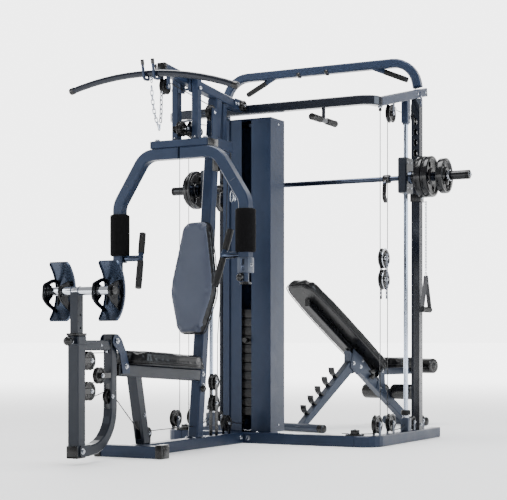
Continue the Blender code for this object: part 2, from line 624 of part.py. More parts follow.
# ---------------------------------------------------------------- leg station
def build_leg_station():
    half = RAIL / 2
    path = fillet([(-1.314, 0.600), (-1.314, 0.062), (-1.552, 0.062)], 0.185, 7)
    frame = bent_tube("frame", path, "YZ", 0, RAIL, RAIL)
    fork = []
    for side in (-1, 1):
        fork.append(slab("fork", [(-1.535, 0.037), (-1.605, 0.037), (-1.614, 0.062), (-1.605, 0.090),
                                  (-1.535, 0.090)], "YZ", side * 0.0333, 0.005))
    fork.append(box("heel", (-0.0345, -1.5515, 0.042), (0.0345, -1.530, 0.084), 0.001, 1))
    pin = [(x, PRESS_PIVOT.y, PRESS_PIVOT.z) for x in (-0.039, 0.039)]
    fork.append(rod("pin", pin[0], pin[1], 0.006, 12))
    fork.append(rod("axle", (-0.028, -1.330, 0.306), (0.028, -1.330, 0.306), 0.0045, 10))
    slot = box("slot", (-0.0135, -1.400, 0.245), (0.0135, -1.270, 0.368), 0)
    pivot_hole = rod("pivot_hole", (-0.1, LEG_PIVOT.y, LEG_PIVOT.z), (0.1, LEG_PIVOT.y, LEG_PIVOT.z), 0.0078)
    frame = cut("frame", frame, [slot, pivot_hole])
    leg_frame = steel(combine("leg_frame", frame, fork))
    hang([leg_frame], empty("leg_pivot", LEG_PIVOT))

    lever = box("lever", (-0.0300, -1.6200, 0.0400), (0.0300, -1.5600, 0.5800), 0.004, 1)
    parts = [box("tie", (-0.0245, -1.575, 0.5250), (0.0245, -1.3450, 0.5740), 0.004, 1)]
    parts.append(box("collar", (-0.0340, -1.6240, 0.5500), (0.0340, -1.5560, 0.5950), 0.005, 1))
    for z in (0.478, 0.336):
        parts.append(box("lug", (-0.0230, -1.568, z - 0.012), (-0.0170, -1.480, z + 0.012), 0.001, 1))
        parts.append(rod("axle", (-0.0225, -1.495, z), (0.0160, -1.495, z), 0.0045, 10))
    lever = combine("lever", lever, parts)
    bore = box("bore", (-0.0230, -1.6130, 0.2000), (0.0230, -1.5670, 0.6200), 0)
    pin_hole = rod("pin_hole", (-0.04, PRESS_PIVOT.y, PRESS_PIVOT.z), (0.04, PRESS_PIVOT.y, PRESS_PIVOT.z), 0.0068)
    knob_hole = rod("knob_hole", (0, -1.640, KNOB_Z), (0, -1.600, KNOB_Z), 0.0066, 12)
    press_lever = steel(cut("press_lever", lever, [bore, pin_hole, knob_hole]))
    hang([press_lever], empty("press_pivot", PRESS_PIVOT))
    shaft = rod("shaft", (0, -1.6123, KNOB_Z), (0, -1.640, KNOB_Z), 0.0055, 12)
    neck = rod("neck", (0, -1.6250, KNOB_Z), (0, -1.640, KNOB_Z), 0.0110, 16, 0.0190)
    ball = rod("ball", (0, -1.638, KNOB_Z), (0, -1.676, KNOB_Z), 0.0220, 16, 0.0120)
    knob = black(combine("foot_post_knob", ball, [neck, shaft]))
    hang([knob], empty("knob_pivot", (0, -1.640, KNOB_Z)))
    leg_cable()

    post = box("post", (-0.0215, -1.6115, 0.3300), (0.0215, -1.5685, 0.7950), 0.003, 1)
    bar = rod("bar", (-0.1700, -1.590, FOOT_BAR_Z), (0.2100, -1.590, FOOT_BAR_Z), 0.0200)
    foot_post = chrome(combine("foot_post", post, [bar]))
    bar_axis = empty("foot_bar_axis", (0, -1.590, FOOT_BAR_Z))
    hang([foot_post], bar_axis)
    for name, x in FOOT_PLATES:
        arc = []
        for step in range(9):
            angle = math.radians(-48 + 96 * step / 8)
            arc.append(Vector((-1.690 + 0.185 * math.cos(angle), FOOT_BAR_Z + 0.185 * math.sin(angle))))
        plate = slab("plate", band(arc, 0.004), "YZ", x, 0.110)
        gussets = []
        for offset in (-0.036, 0.036):
            gusset = slab("gusset", [(-1.560, 0.720), (-1.506, 0.760), (-1.503, 0.840), (-1.560, 0.880),
                                     (-1.622, 0.840), (-1.630, 0.800), (-1.622, 0.760)],
                          "YZ", x + offset, 0.006)
            gussets.append(gusset)
        solid = combine("solid", plate, gussets)
        hole = rod("hole", (x - 0.10, -1.590, FOOT_BAR_Z), (x + 0.10, -1.590, FOOT_BAR_Z), 0.0207)
        hang([black(cut(f"{name}_foot_plate", solid, [hole]), 0.3)], bar_axis)


def leg_cable():
    """Cable that zigzags between the lever and the leg frame, then runs back through the strut."""
    loop = 0.0360
    route = [(0, -1.3395, 0.514)]
    route += arc_points(0, -1.495, 0.478, loop, 90, 280, 7)
    route += arc_points(0, -1.407, 0.407, 0.030, 60, -60, 4)
    route += arc_points(0, -1.495, 0.336, loop, 100, 285, 7)
    route += arc_points(0, -1.330, 0.306, 0.030, 110, 40, 3)
    route += [(0, -1.0800, 0.1400), (0, -1.0450, 0.1240), (0, -0.990, 0.1210), (0, -0.5345, 0.1210)]
    black(wire("leg_cable", route, CABLE_R, 1))


# ---------------------------------------------------------------- Smith carriage
DISC_GAP = 0.002
# size, distance of its inner face from the side plane, thickness and radius
DISCS = {"left": (("large", 0.0640, 0.034, 0.116), ("small", 0.0995, 0.020, 0.098)),
         "right": (("large", 0.1070, 0.076, 0.116), ("small", 0.2280, 0.038, 0.098))}


def build_smith():
    pivot = empty("smith_pivot", (CAGE_X, BAR_Y, BAR_Z))
    bar = rod("bar", (LEFT_X - 0.060, BAR_Y, BAR_Z), (RIGHT_X + 0.060, BAR_Y, BAR_Z), 0.0145)
    parts = []
    for x, out, reach in ((LEFT_X, -1, 0.240), (RIGHT_X, 1, 0.395)):
        parts.append(rod("sleeve", (x + out * 0.050, BAR_Y, BAR_Z), (x + out * reach, BAR_Y, BAR_Z), 0.0250))
        parts.append(rod("collar", (x + out * 0.044, BAR_Y, BAR_Z), (x + out * 0.062, BAR_Y, BAR_Z), 0.0360))
        hook_x = x - out * 0.095
        path = fillet([(BAR_Y, BAR_Z), (BAR_Y - 0.034, BAR_Z - 0.026), (BAR_Y - 0.040, BAR_Z - 0.105),
                       (BAR_Y - 0.016, BAR_Z - 0.124)], 0.016, 3)
        parts.append(slab("hook", band(path, 0.020), "YZ", hook_x, 0.016))
        parts.append(rod("boss", (hook_x - 0.018, BAR_Y, BAR_Z), (hook_x + 0.018, BAR_Y, BAR_Z), 0.0230))
    chrome(combine("smith_bar", bar, parts))
    for side, x, out in (("left", LEFT_X, -1), ("right", RIGHT_X, 1)):
        near, far = sorted((x - out * 0.019, x + out * 0.034))
        block = box("block", (near, BAR_Y - 0.030, BAR_Z - 0.085), (far, ROD_Y + 0.030, BAR_Z + 0.115), 0.006, 1)
        bore = rod("bore", (x, ROD_Y, BAR_Z - 0.2), (x, ROD_Y, BAR_Z + 0.2), ROD_R + 0.0012)
        eye = rod("eye", (x - 0.1, BAR_Y, BAR_Z), (x + 0.1, BAR_Y, BAR_Z), 0.0155)
        black(cut(f"{side}_slider", block, [bore, eye]))
    sides = {"left": (LEFT_X, -1), "right": (RIGHT_X, 1)}
    for name, (x, out) in sides.items():
        for label, offset, width, radius in DISCS[name]:
            start = x + out * offset
            discs = []
            if label == "large":            # two discs of one size, clamped into one pack
                inner = start + out * (width - DISC_GAP) / 2
                discs.append(rod("disc", (start, BAR_Y, BAR_Z), (inner, BAR_Y, BAR_Z), radius, 28))
                start_2 = start + out * (width + DISC_GAP) / 2
                discs.append(rod("disc", (start_2, BAR_Y, BAR_Z), (start + out * width, BAR_Y, BAR_Z), radius, 28))
            else:
                discs.append(rod("disc", (start, BAR_Y, BAR_Z), (start + out * width, BAR_Y, BAR_Z), radius, 28))
            boss = rod("boss", (start, BAR_Y, BAR_Z), (start + out * width, BAR_Y, BAR_Z), 0.0400)
            disc = combine("disc", boss, discs)
            eye = rod("eye", (x, BAR_Y, BAR_Z), (x + out * 0.4, BAR_Y, BAR_Z), 0.0256)
            paint(cut(f"{name}_{label}_plate", disc, [eye]), IRON, 0.45, 0.3)
    hang([bpy.data.objects["smith_bar"]], pivot)


# ---------------------------------------------------------------- cage cables
def build_cage_cables():
    """On each side a floating double pulley hangs in one cable; a strap handle hangs on the right."""
    base_groove, block_groove = PULLEY_R - 0.0055, BLOCK_PULLEY_R - 0.0045
    first_y = BASE_PULLEY_Y + base_groove
    block_y = first_y + block_groove
    second_y = block_y + block_groove
    top_y, top_z = second_y + base_groove, 1.822
    for side, x, inward in (("left", LEFT_X, 1), ("right", RIGHT_X, -1)):
        route = [(x, first_y, rail_under(first_y) - 0.001)]
        route += arc_points(x, block_y, BLOCK_Z[0], block_groove, 180, 360, 8)
        route += arc_points(x, top_y, top_z, base_groove, 180, 90, 5)
        route += [(x, 0.330, top_z + base_groove), (x + inward * 0.032, 0.420, top_z + base_groove),
                  (x + inward * 0.032, 0.600, top_z + base_groove), (x + inward * 0.018, 0.6290, 1.8600)]
        black(wire(f"{side}_upper_cable", route, CABLE_R, 1))
        route = [(x, 0.4600, 0.100), (x, 0.400, 0.0800)]
        route += arc_points(x, top_y, BASE_PULLEY_Z, base_groove, 280, 180, 5)
        route += arc_points(x, block_y, BLOCK_Z[1], block_groove, 0, 180, 8)
        route += arc_points(x, BASE_PULLEY_Y, BASE_PULLEY_Z, base_groove, 0, -90, 5)
        route += [(x, 0.040, 0.0745), (x + inward * 0.012, 0.024, 0.0725), (x + inward * 0.040, 0.013, 0.0710),
                  (x + inward * 0.100, 0.010, 0.0700), (CAGE_X - inward * 0.45, 0.010, 0.0700)]
        black(wire(f"{side}_lower_cable", route, CABLE_R, 1))
        wheels = [turned("wheel", pulley_profile(BLOCK_PULLEY_R, bore=0.0040), (x, block_y, z), (1, 0, 0))
                  for z in BLOCK_Z]
        parts = [wheels[1]]
        for out in (-1, 1):
            low, high = sorted((x + out * 0.0145, x + out * 0.0175))
            parts.append(box("strap", (low, block_y - 0.014, 0.800), (high, block_y + 0.014, 1.045), 0.001, 1))
        for z in BLOCK_Z:
            parts.append(rod("axle", (x - 0.021, block_y, z), (x + 0.021, block_y, z), 0.0065, 10))
        block = black(combine(f"{side}_float_block", wheels[0], parts), 0.4)
        hang([block], empty(f"{side}_block_axis", (x, block_y, BLOCK_Z[0])))


def build_handle():
    """Strap handle hanging on a short chain outside the right post."""
    grip = rod("grip", (HANDLE_X, POST_Y - 0.062, 0.750), (HANDLE_X, POST_Y + 0.062, 0.750), 0.0140)
    parts = []
    for side in (-1, 1):
        low = Vector((HANDLE_X, POST_Y + side * 0.055, 0.750))
        high = Vector((HANDLE_X, POST_Y + side * 0.008, 0.925))
        lean = band([Vector((low.y, low.z)), Vector((high.y, high.z))], 0.004)
        parts.append(slab("strap", lean, "YZ", HANDLE_X, 0.024))
    parts.append(rod("knot", (HANDLE_X, POST_Y, 0.915), (HANDLE_X, POST_Y, 0.935), 0.0130, 12))
    parts.append(rod("chain", (HANDLE_X, POST_Y, 0.930), (HANDLE_X, POST_Y, HANDLE_TOP), 0.0055, 8))
    handle = black(combine("strap_handle", grip, parts))
    hang([handle], empty("handle_pivot", (HANDLE_X, POST_Y, HANDLE_TOP)))


# ---------------------------------------------------------------- bench
def build_bench():
    """Folding bench; its own frame has Y along the bench towards the seat end."""
    root = empty("bench_root", BENCH_PLACE, BENCH_TURN)
    slope = math.tan(BENCH_SLOPE)

    def tilted(name, y0, y1, z_at, offset, height, width, edge):
        """A bar parallel to the back pad whose centreline passes z_at[1] at y = z_at[0]."""
        def z(y):
            return z_at[1] + (y - z_at[0]) * slope + offset
        reach = height / 2 / math.cos(BENCH_SLOPE)
        outline = [(y0, z(y0) - reach), (y1, z(y1) - reach), (y1, z(y1) + reach), (y0, z(y0) + reach)]
        return slab(name, outline, "YZ", 0, width, edge)

    main = tilted("main", 0.440, 1.045, (0.691, 0.293), 0, 0.055, 0.055, 0.004)
    parts = [rod("rear_foot", (-0.180, 1.040, 0.0300), (0.180, 1.040, 0.0300), 0.0298)]
    parts.append(rod("head_foot", (-0.200, 0, 0.0260), (0.200, 0, 0.0260), 0.0258))
    parts.append(slab("leg", [(-0.030, 0.030), (0.030, 0.030), (0.510, 0.400), (0.465, 0.455)], "YZ", 0,
                      0.050, 0.003))
    for side in (-1, 1):
        gusset = [(0.440, 0.400), (0.500, 0.352), (0.640, 0.380), (0.560, 0.462), (0.470, 0.520)]
        parts.append(slab("gusset", gusset, "YZ", side * 0.0300, 0.006))
        ear = [(0.700, 0.255), (0.790, 0.225), (0.782, 0.380), (0.768, 0.392), (0.750, 0.392),
               (0.738, 0.372), (0.725, 0.335)]
        parts.append(slab("ear", ear, "YZ", side * 0.0300, 0.006))
    for i in range(5):
        share = 0.13 + 0.135 * i
        y, z = 0.488 * share - 0.020, 0.43 * share + 0.048
        hook = band([Vector(p) for p in fillet([(y + 0.030, z - 0.004), (y - 0.012, z + 0.028),
                                                (y - 0.020, z + 0.062)], 0.010, 2)], 0.011)
        parts.append(slab("hook", hook, "YZ", 0, 0.040))
    parts.append(box("lug", (-0.020, 0.845, 0.140), (0.020, 0.895, 0.250), 0.002, 1))
    frame = combine("frame", main, parts)
    pin = rod("pin", BENCH_PIVOT - Vector((0.038, 0, 0)), BENCH_PIVOT + Vector((0.038, 0, 0)), 0.0070, 12)
    frame = combine("frame", frame, [pin])
    frame = steel(cut("bench_frame", frame, [across("bore", LOWER_ROLLER, 0.0108)]))

    seat_tube = box("seat_tube", (-0.0250, 0.741, 0.3450), (0.0250, 1.110, 0.3930), 0.004, 1)
    riser = box("riser", (-0.020, 1.066, 0.370), (0.020, 1.106, 0.4250), 0.002, 1)
    seat_tube = combine("seat_tube", seat_tube, [riser])
    slot = box("slot", (-0.0078, 0.700, 0.330), (0.0078, 0.806, 0.410), 0)
    bores = [across("bore", UPPER_ROLLER, 0.0108), across("pivot_bore", BENCH_PIVOT, 0.0078), slot]
    seat_frame = steel(cut("bench_seat_frame", seat_tube, bores))
    seat_pad = black(box("bench_seat_pad", (-0.150, 0.800, 0.3935), (0.150, 1.026, 0.4560), 0.012), 0.35)

    back_line = (0.500, 0.559)
    half_widths = [(-0.030, 0.090), (0.020, 0.115), (0.180, 0.135), (0.480, 0.135), (0.680, 0.125),
                   (0.735, 0.100)]
    outline = [(w, y) for y, w in half_widths] + [(-w, y) for y, w in reversed(half_widths)]
    pad = slab("bench_back_pad", [(x, y / math.cos(BENCH_SLOPE)) for x, y in outline], "XY", 0, 0.065, 0.012)
    rise = Matrix.Translation((0, 0, back_line[1] - back_line[0] * slope))
    pad.data.transform(rise @ Matrix.Rotation(BENCH_SLOPE, 4, "X"))
    black(pad, 0.35)
    spine = tilted("spine", 0.060, 0.700, back_line, -0.0632, 0.036, 0.040, 0.003)
    tongue = slab("tongue", [(0.640, 0.365), (0.700, 0.322), (0.745, 0.335), (0.765, 0.350), (0.775, 0.373),
                             (0.765, 0.392), (0.750, 0.392), (0.742, 0.372), (0.728, 0.352),
                             (0.700, 0.362), (0.640, 0.405)], "YZ", 0, 0.012)
    back_frame = combine("back", spine, [tongue])
    back_frame = steel(cut("bench_back_frame", back_frame, [across("pivot_bore", BENCH_PIVOT, 0.0078)]))

    place = root.matrix_world.copy()
    hang([frame], root, place)
    hang([pad, back_frame], empty("bench_back_pivot", BENCH_PIVOT, parent=root), place)
    seat_pivot = empty("bench_seat_pivot", BENCH_PIVOT, parent=root)
    hang([seat_frame, seat_pad], seat_pivot, place)
    for name, centre in (("bench_lower_rollers", LOWER_ROLLER), ("bench_upper_rollers", UPPER_ROLLER)):
        axle = across("axle", centre, 0.0100, 0.215)
        foams = []
        for side in (-1, 1):
            near, far = Vector((side * 0.035, 0, 0)), Vector((side * 0.210, 0, 0))
            foams.append(rod("foam", centre + near, centre + far, 0.0525, 20))
        rollers = black(combine(name, axle, foams), 0.85)
        hang([rollers], empty(f"{name}_axis", centre, parent=root), place)


def across(name, centre, radius, reach=0.100):
    """A round bar along X through a centre."""
    return rod(name, centre - Vector((reach, 0, 0)), centre + Vector((reach, 0, 0)), radius)


def main():
    clear_scene()
    build_base()
    build_mast()
    build_seat()
    build_shroud()
    build_stack()
    build_top()
    build_arch()
    build_posts()
    build_boom()
    build_lat_bar()
    build_hanger()
    build_leg_station()
    build_smith()
    build_cage_cables()
    build_handle()
    build_bench()


main()
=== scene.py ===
"""Looks of the multi station home gym: materials, pads, rollers, pulleys, chains, cables and fittings."""
import math

import bmesh
import bpy
from mathutils import Matrix, Vector, noise


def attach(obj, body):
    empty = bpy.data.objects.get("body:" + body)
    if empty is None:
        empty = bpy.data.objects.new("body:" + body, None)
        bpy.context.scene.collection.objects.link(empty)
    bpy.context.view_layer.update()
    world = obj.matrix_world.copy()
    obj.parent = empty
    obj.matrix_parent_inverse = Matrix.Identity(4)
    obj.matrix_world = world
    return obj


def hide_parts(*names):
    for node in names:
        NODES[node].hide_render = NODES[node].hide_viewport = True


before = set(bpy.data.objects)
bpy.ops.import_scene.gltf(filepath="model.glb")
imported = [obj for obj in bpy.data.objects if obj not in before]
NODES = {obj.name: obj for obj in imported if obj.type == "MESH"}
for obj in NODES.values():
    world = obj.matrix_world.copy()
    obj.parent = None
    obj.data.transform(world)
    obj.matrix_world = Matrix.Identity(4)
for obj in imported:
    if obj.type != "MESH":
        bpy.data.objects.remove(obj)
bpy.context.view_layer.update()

X, Y, Z = Vector((1, 0, 0)), Vector((0, 1, 0)), Vector((0, 0, 1))
LEFT_X, RIGHT_X = -0.47, 0.795
CAGE_X = (LEFT_X + RIGHT_X) / 2
SIDES = (("left", LEFT_X, 1), ("right", RIGHT_X, -1))
FIRST_Y, LOW_WHEEL_Z = 0.0665, 0.121
LEVER_WHEEL_Y, FRONT_WHEEL_Y, BACK_WHEEL_Y = -1.495, -0.314, -0.175
BAR_Y, BAR_Z = 0.435, 1.485
ROD_Y, POST_Y = 0.483, 0.655
STACK_X, STACK_Y = 0.0175, 0.11
FOOT_Y, FOOT_Z = -1.59, 0.8
ARM_X, ARM_Y = 0.38, -0.655
BENCH = Matrix.Translation((-0.12, 1.0, 0)) @ Matrix.Rotation(math.radians(-17.3), 4, "Z")
BENCH_SLOPE = math.radians(-35.7)


# ---------------------------------------------------------------- materials
def shade(name, colour, rough, metal=0.0, vary=0.15, vary_scale=9.0, rough_vary=0.12, bumps=(),
          coat=0.0, sheen=0.0, specular=0.5, wear=None):
    """A procedural material: colour and roughness drift over the piece, and bumps at several scales.

    bumps holds (kind, scale, strength, distance); kind is noise, cells, weave or ribs."""
    mat = bpy.data.materials.new(name)
    mat.use_nodes = True
    nodes, links = mat.node_tree.nodes, mat.node_tree.links
    shader = nodes["Principled BSDF"]
    place = nodes.new("ShaderNodeTexCoord")

    def texture(kind, scale, detail=None):
        """A texture in object coordinates."""
        made = nodes.new(kind)
        made.inputs["Scale"].default_value = scale
        if detail is not None:
            made.inputs["Detail"].default_value = detail
        links.new(place.outputs["Object"], made.inputs["Vector"])
        return made

    def ramp_between(factor, low, high):
        """A colour ramp whose two stops stand at low and high."""
        made = nodes.new("ShaderNodeValToRGB")
        made.color_ramp.elements[0].position = low
        made.color_ramp.elements[1].position = high
        links.new(factor, made.inputs["Fac"])
        return made

    for socket, value in (("Metallic", metal), ("Specular IOR Level", specular), ("Coat Weight", coat),
                          ("Coat Roughness", 0.18), ("Sheen Weight", sheen), ("Sheen Roughness", 0.45)):
        shader.inputs[socket].default_value = value
    drift = texture("ShaderNodeTexNoise", vary_scale, 6)
    ramp = ramp_between(drift.outputs["Fac"], 0.3, 0.72)
    ramp.color_ramp.elements[0].color = (*[c * (1 - vary) for c in colour], 1)
    ramp.color_ramp.elements[1].color = (*[min(c * (1 + vary), 1) for c in colour], 1)
    tint = ramp.outputs["Color"]
    if wear:
        speck = texture("ShaderNodeTexNoise", wear[1], 3)
        keep = ramp_between(speck.outputs["Fac"], 0.66, 0.74)
        mix = nodes.new("ShaderNodeMix")
        mix.data_type = "RGBA"
        mix.inputs["B"].default_value = (*wear[0], 1)
        links.new(keep.outputs["Color"], mix.inputs["Factor"])
        links.new(tint, mix.inputs["A"])
        tint = mix.outputs["Result"]
    links.new(tint, shader.inputs["Base Color"])
    smear = texture("ShaderNodeTexNoise", vary_scale * 3.1, 5)
    span = nodes.new("ShaderNodeMapRange")
    for socket, value in (("From Min", 0.3), ("From Max", 0.7),
                          ("To Min", max(rough * (1 - rough_vary), 0.02)),
                          ("To Max", min(rough * (1 + rough_vary), 1))):
        span.inputs[socket].default_value = value
    links.new(smear.outputs["Fac"], span.inputs["Value"])
    links.new(span.outputs["Result"], shader.inputs["Roughness"])
    last = None
    for kind, scale, strength, distance in bumps:
        if kind == "cells":
            tex = texture("ShaderNodeTexVoronoi", scale)
            tex.feature = "SMOOTH_F1"
            out = tex.outputs["Distance"]
        elif kind in ("weave", "ribs"):
            tex = texture("ShaderNodeTexWave", scale)
            tex.bands_direction = "DIAGONAL" if kind == "weave" else "Z"
            tex.inputs["Distortion"].default_value = 0.4
            out = tex.outputs["Fac"]
        else:
            tex = texture("ShaderNodeTexNoise", scale, 4)
            out = tex.outputs["Fac"]
        bump = nodes.new("ShaderNodeBump")
        bump.inputs["Strength"].default_value = strength
        bump.inputs["Distance"].default_value = distance
        links.new(out, bump.inputs["Height"])
        if last is not None:
            links.new(last.outputs["Normal"], bump.inputs["Normal"])
        last = bump
    if last is not None:
        links.new(last.outputs["Normal"], shader.inputs["Normal"])
    return mat


FINE = ("noise", 1400.0, 0.25, 0.0004)
ORANGE_PEEL = (("noise", 900.0, 0.2, 0.0005), ("noise", 60.0, 0.06, 0.001))
BLUE = shade("powder_blue", (0.011, 0.021, 0.047), 0.36, 0.25, 0.1, 5.0, 0.14, ORANGE_PEEL, coat=0.08,
             specular=0.3, wear=((0.03, 0.045, 0.08), 420.0))
# Darker copy of the powder blue paint: painted shade, the same paint made darker on parts that sit in shade.
PAINTED_SHADE_BLUE = shade("powder_blue_painted_shade", (0.006, 0.0095, 0.017), 0.32, 0.25, 0.1, 5.0, 0.14, ORANGE_PEEL,
                   coat=0.12, specular=0.35, wear=((0.022, 0.03, 0.045), 420.0))
# Lighter copy of the powder blue paint: painted light, the same paint made paler where more light falls on it.
PAINTED_LIT_BLUE = shade("powder_blue_pale", (0.034, 0.045, 0.07), 0.38, 0.25, 0.1, 6.0, 0.14, ORANGE_PEEL,
                  coat=0.1, specular=0.4, wear=((0.08, 0.1, 0.14), 420.0))
# Very dark blue: the lat bar and the slotted posts are this dark themselves; on the top front beam it is
# painted shade, the frame's blue paint darkened where light doesn't fall.
DARK_BLUE_AND_PAINTED_SHADE = shade("powder_blue_dark_and_painted_shade", (0.0045, 0.007, 0.014), 0.24, 0.3, 0.12, 5.0, 0.14,
                  (("noise", 900.0, 0.15, 0.0005),), coat=0.2, specular=0.35)
BLACK_METAL = shade("black_enamel", (0.0025, 0.003, 0.0045), 0.16, 0.25, 0.15, 12.0, 0.2,
                    (("noise", 700.0, 0.1, 0.0004),), coat=0.15, specular=0.35)
VINYL = shade("black_vinyl", (0.0028, 0.003, 0.004), 0.3, 0.0, 0.12, 14.0, 0.12,
              (("cells", 420.0, 0.2, 0.0006), ("noise", 150.0, 0.1, 0.0006)), coat=0.03, specular=0.25)
# Lighter blue-grey vinyl: painted sheen, the black vinyl of a pad face made lighter where light reflects off
# it.
PAINTED_SHEEN_VINYL = shade("painted_sheen_vinyl", (0.044, 0.054, 0.085), 0.5, 0.0, 0.1, 8.0, 0.12,
                   (("cells", 420.0, 0.26, 0.0007), ("noise", 150.0, 0.12, 0.0007)), specular=0.45)
PIPING = shade("vinyl_piping", (0.003, 0.0033, 0.0045), 0.34, 0.0, 0.1, 30.0, 0.12,
               (("cells", 700.0, 0.2, 0.0004),), specular=0.4)
FOAM = shade("black_foam", (0.0022, 0.0021, 0.0026), 0.85, 0.0, 0.25, 40.0, 0.08,
             (("cells", 650.0, 0.5, 0.001), ("noise", 240.0, 0.2, 0.001)), specular=0.1)
GLOSS_NAVY = shade("gloss_navy", (0.03, 0.045, 0.078), 0.27, 0.65, 0.12, 7.0, 0.14,
                   (("noise", 800.0, 0.1, 0.0004),), coat=0.35, specular=0.45)
STEEL = shade("ground_steel", (0.36, 0.41, 0.5), 0.14, 1.0, 0.05, 12.0, 0.2,
              (("noise", 300.0, 0.03, 0.0002),))
ROLL_VINYL = shade("roller_vinyl", (0.0022, 0.0022, 0.0026), 0.26, 0.0, 0.15, 20.0, 0.15,
                   (("cells", 500.0, 0.18, 0.0006), ("noise", 90.0, 0.1, 0.0008)), coat=0.1, specular=0.45)
CHROME = shade("bright_chrome", (0.66, 0.69, 0.75), 0.08, 1.0, 0.03, 20.0, 0.35,
               (("noise", 90.0, 0.03, 0.0003),))
DARK_CHROME = shade("black_chrome", (0.045, 0.055, 0.08), 0.16, 1.0, 0.06, 20.0, 0.3,
                    (("noise", 120.0, 0.04, 0.0003),))
ZINC = shade("zinc_plate", (0.42, 0.44, 0.48), 0.22, 1.0, 0.12, 60.0, 0.25,
             (("noise", 500.0, 0.15, 0.0003),))
IRON = shade("hammered_iron", (0.0025, 0.0028, 0.0038), 0.2, 0.15, 0.15, 25.0, 0.2,
             (("cells", 190.0, 0.1, 0.0006), ("noise", 700.0, 0.08, 0.0004)), coat=0.1, specular=0.4)
STACK_IRON = shade("stack_iron", (0.0065, 0.0062, 0.0068), 0.36, 0.2, 0.2, 18.0, 0.15,
                   (("cells", 260.0, 0.2, 0.0008),), specular=0.45, wear=((0.03, 0.028, 0.028), 300.0))
PLASTIC = shade("black_nylon", (0.0025, 0.0025, 0.003), 0.28, 0.0, 0.15, 30.0, 0.15, (FINE,), specular=0.42)
RUBBER = shade("black_rubber", (0.0028, 0.0028, 0.0032), 0.5, 0.0, 0.2, 35.0, 0.1,
               (("ribs", 260.0, 0.35, 0.0008), FINE), specular=0.3)
SHEATH = shade("cable_sheath", (0.003, 0.003, 0.0038), 0.3, 0.0, 0.2, 80.0, 0.15,
               (("weave", 900.0, 0.25, 0.0003),), specular=0.3)
WEB = shade("grey_webbing", (0.1, 0.1, 0.105), 0.8, 0.0, 0.12, 60.0, 0.08,
            (("weave", 620.0, 0.8, 0.001), ("noise", 900.0, 0.3, 0.0006)), sheen=0.15, specular=0.2)


# ---------------------------------------------------------------- mesh tools
def aim(origin, axis, up=None):
    """A matrix whose Z runs along axis from origin."""
    z = Vector(axis).normalized()
    hint = Vector(up) if up is not None else (Z if abs(z.z) < 0.9 else X)
    x = hint.cross(z).normalized()
    y = z.cross(x)
    return Matrix.Translation(origin) @ Matrix((x, y, z)).transposed().to_4x4()


def lathe(bm, profile, place, steps=24):
    """Spins (radius, height) points about the Z of place; the ends on the axis close it."""
    rings = []
    for radius, height in profile:
        if radius < 1e-6:
            rings.append([bm.verts.new(place @ Vector((0, 0, height)))])
            continue
        turn = [2 * math.pi * i / steps for i in range(steps)]
        rings.append([bm.verts.new(place @ Vector((radius * math.cos(a), radius * math.sin(a), height)))
                      for a in turn])
    for low, high in zip(rings, rings[1:]):
        for i in range(steps):
            j = (i + 1) % steps
            quad = [low[i % len(low)], low[j % len(low)], high[j % len(high)], high[i % len(high)]]
            face = list(dict.fromkeys(quad))
            if len(face) > 2:
                bm.faces.new(face)
    return rings


def rod(bm, start, end, radius, steps=18, edge=None):
    """A closed round bar with softened ends."""
    start, end = Vector(start), Vector(end)
    length = (end - start).length
    edge = min(radius * 0.2, 0.002) if edge is None else edge
    profile = [(0, 0), (radius - edge, 0), (radius - edge * 0.3, edge * 0.3), (radius, edge),
               (radius, length - edge), (radius - edge * 0.3, length - edge * 0.3), (radius - edge, length),
               (0, length)]
    lathe(bm, profile, aim(start, end - start), steps)


def block(bm, low, high, edge=0.002, place=Matrix(), segments=2):
    """A box with rounded edges between two corners."""
    low, high = Vector(low), Vector(high)
    made = bmesh.ops.create_cube(bm, size=1)["verts"]
    bmesh.ops.scale(bm, vec=high - low, verts=made)
    bmesh.ops.translate(bm, vec=(high + low) / 2, verts=made)
    if edge > 0:
        edges = list({e for v in made for e in v.link_edges})
        made = bmesh.ops.bevel(bm, geom=edges, offset=edge, segments=segments, profile=0.5,
                               affect="EDGES")["verts"]
        made = list({v for f in {f for v in made for f in v.link_faces} for v in f.verts})
    bmesh.ops.transform(bm, matrix=place, verts=made)


def plate(bm, outline, thickness, place, edge=0.0008):
    """A flat outline in the XY of place, thickened to both sides, with its edges broken."""
    low = [bm.verts.new((x, y, -thickness / 2)) for x, y in outline]
    high = [bm.verts.new((x, y, thickness / 2)) for x, y in outline]
    count = len(outline)
    faces = [bm.faces.new(low[::-1]), bm.faces.new(high)]
    for i in range(count):
        j = (i + 1) % count
        faces.append(bm.faces.new((low[i], low[j], high[j], high[i])))
    made = low + high
    if edge > 0:
        rim = [e for f in faces[:2] for e in f.edges]
        new = bmesh.ops.bevel(bm, geom=rim, offset=edge, segments=1, affect="EDGES")["verts"]
        made = list({v for f in {f for v in new for f in v.link_faces} for v in f.verts})
    bmesh.ops.transform(bm, matrix=place, verts=made)


def oval(half_x, half_y, count=20, power=2.0):
    """Points round a (super)ellipse."""
    points = []
    for i in range(count):
        a = 2 * math.pi * i / count
        c, s = math.cos(a), math.sin(a)
        points.append((half_x * math.copysign(abs(c) ** (2 / power), c),
                       half_y * math.copysign(abs(s) ** (2 / power), s)))
    return points


def capsule(length, radius, count=8):
    """Outline of a strip with round ends, along X."""
    points = []
    for side in (1, -1):
        for i in range(count + 1):
            a = math.pi * i / count - math.pi / 2
            points.append((side * (length / 2 - radius + radius * math.cos(a)), side * radius * math.sin(a)))
    return points


def smooth_path(points, per_leg=8):
    """A Catmull-Rom curve through the points."""
    pts = [Vector(p) for p in points]
    pts = [pts[0] * 2 - pts[1]] + pts + [pts[-1] * 2 - pts[-2]]
    out = []
    for a, b, c, d in zip(pts, pts[1:], pts[2:], pts[3:]):
        for i in range(per_leg):
            t = i / per_leg
            out.append(0.5 * ((2 * b) + (c - a) * t + (2 * a - 5 * b + 4 * c - d) * t ** 2
                              + (3 * b - a - 3 * c + d) * t ** 3))
    out.append(pts[-2])
    return out


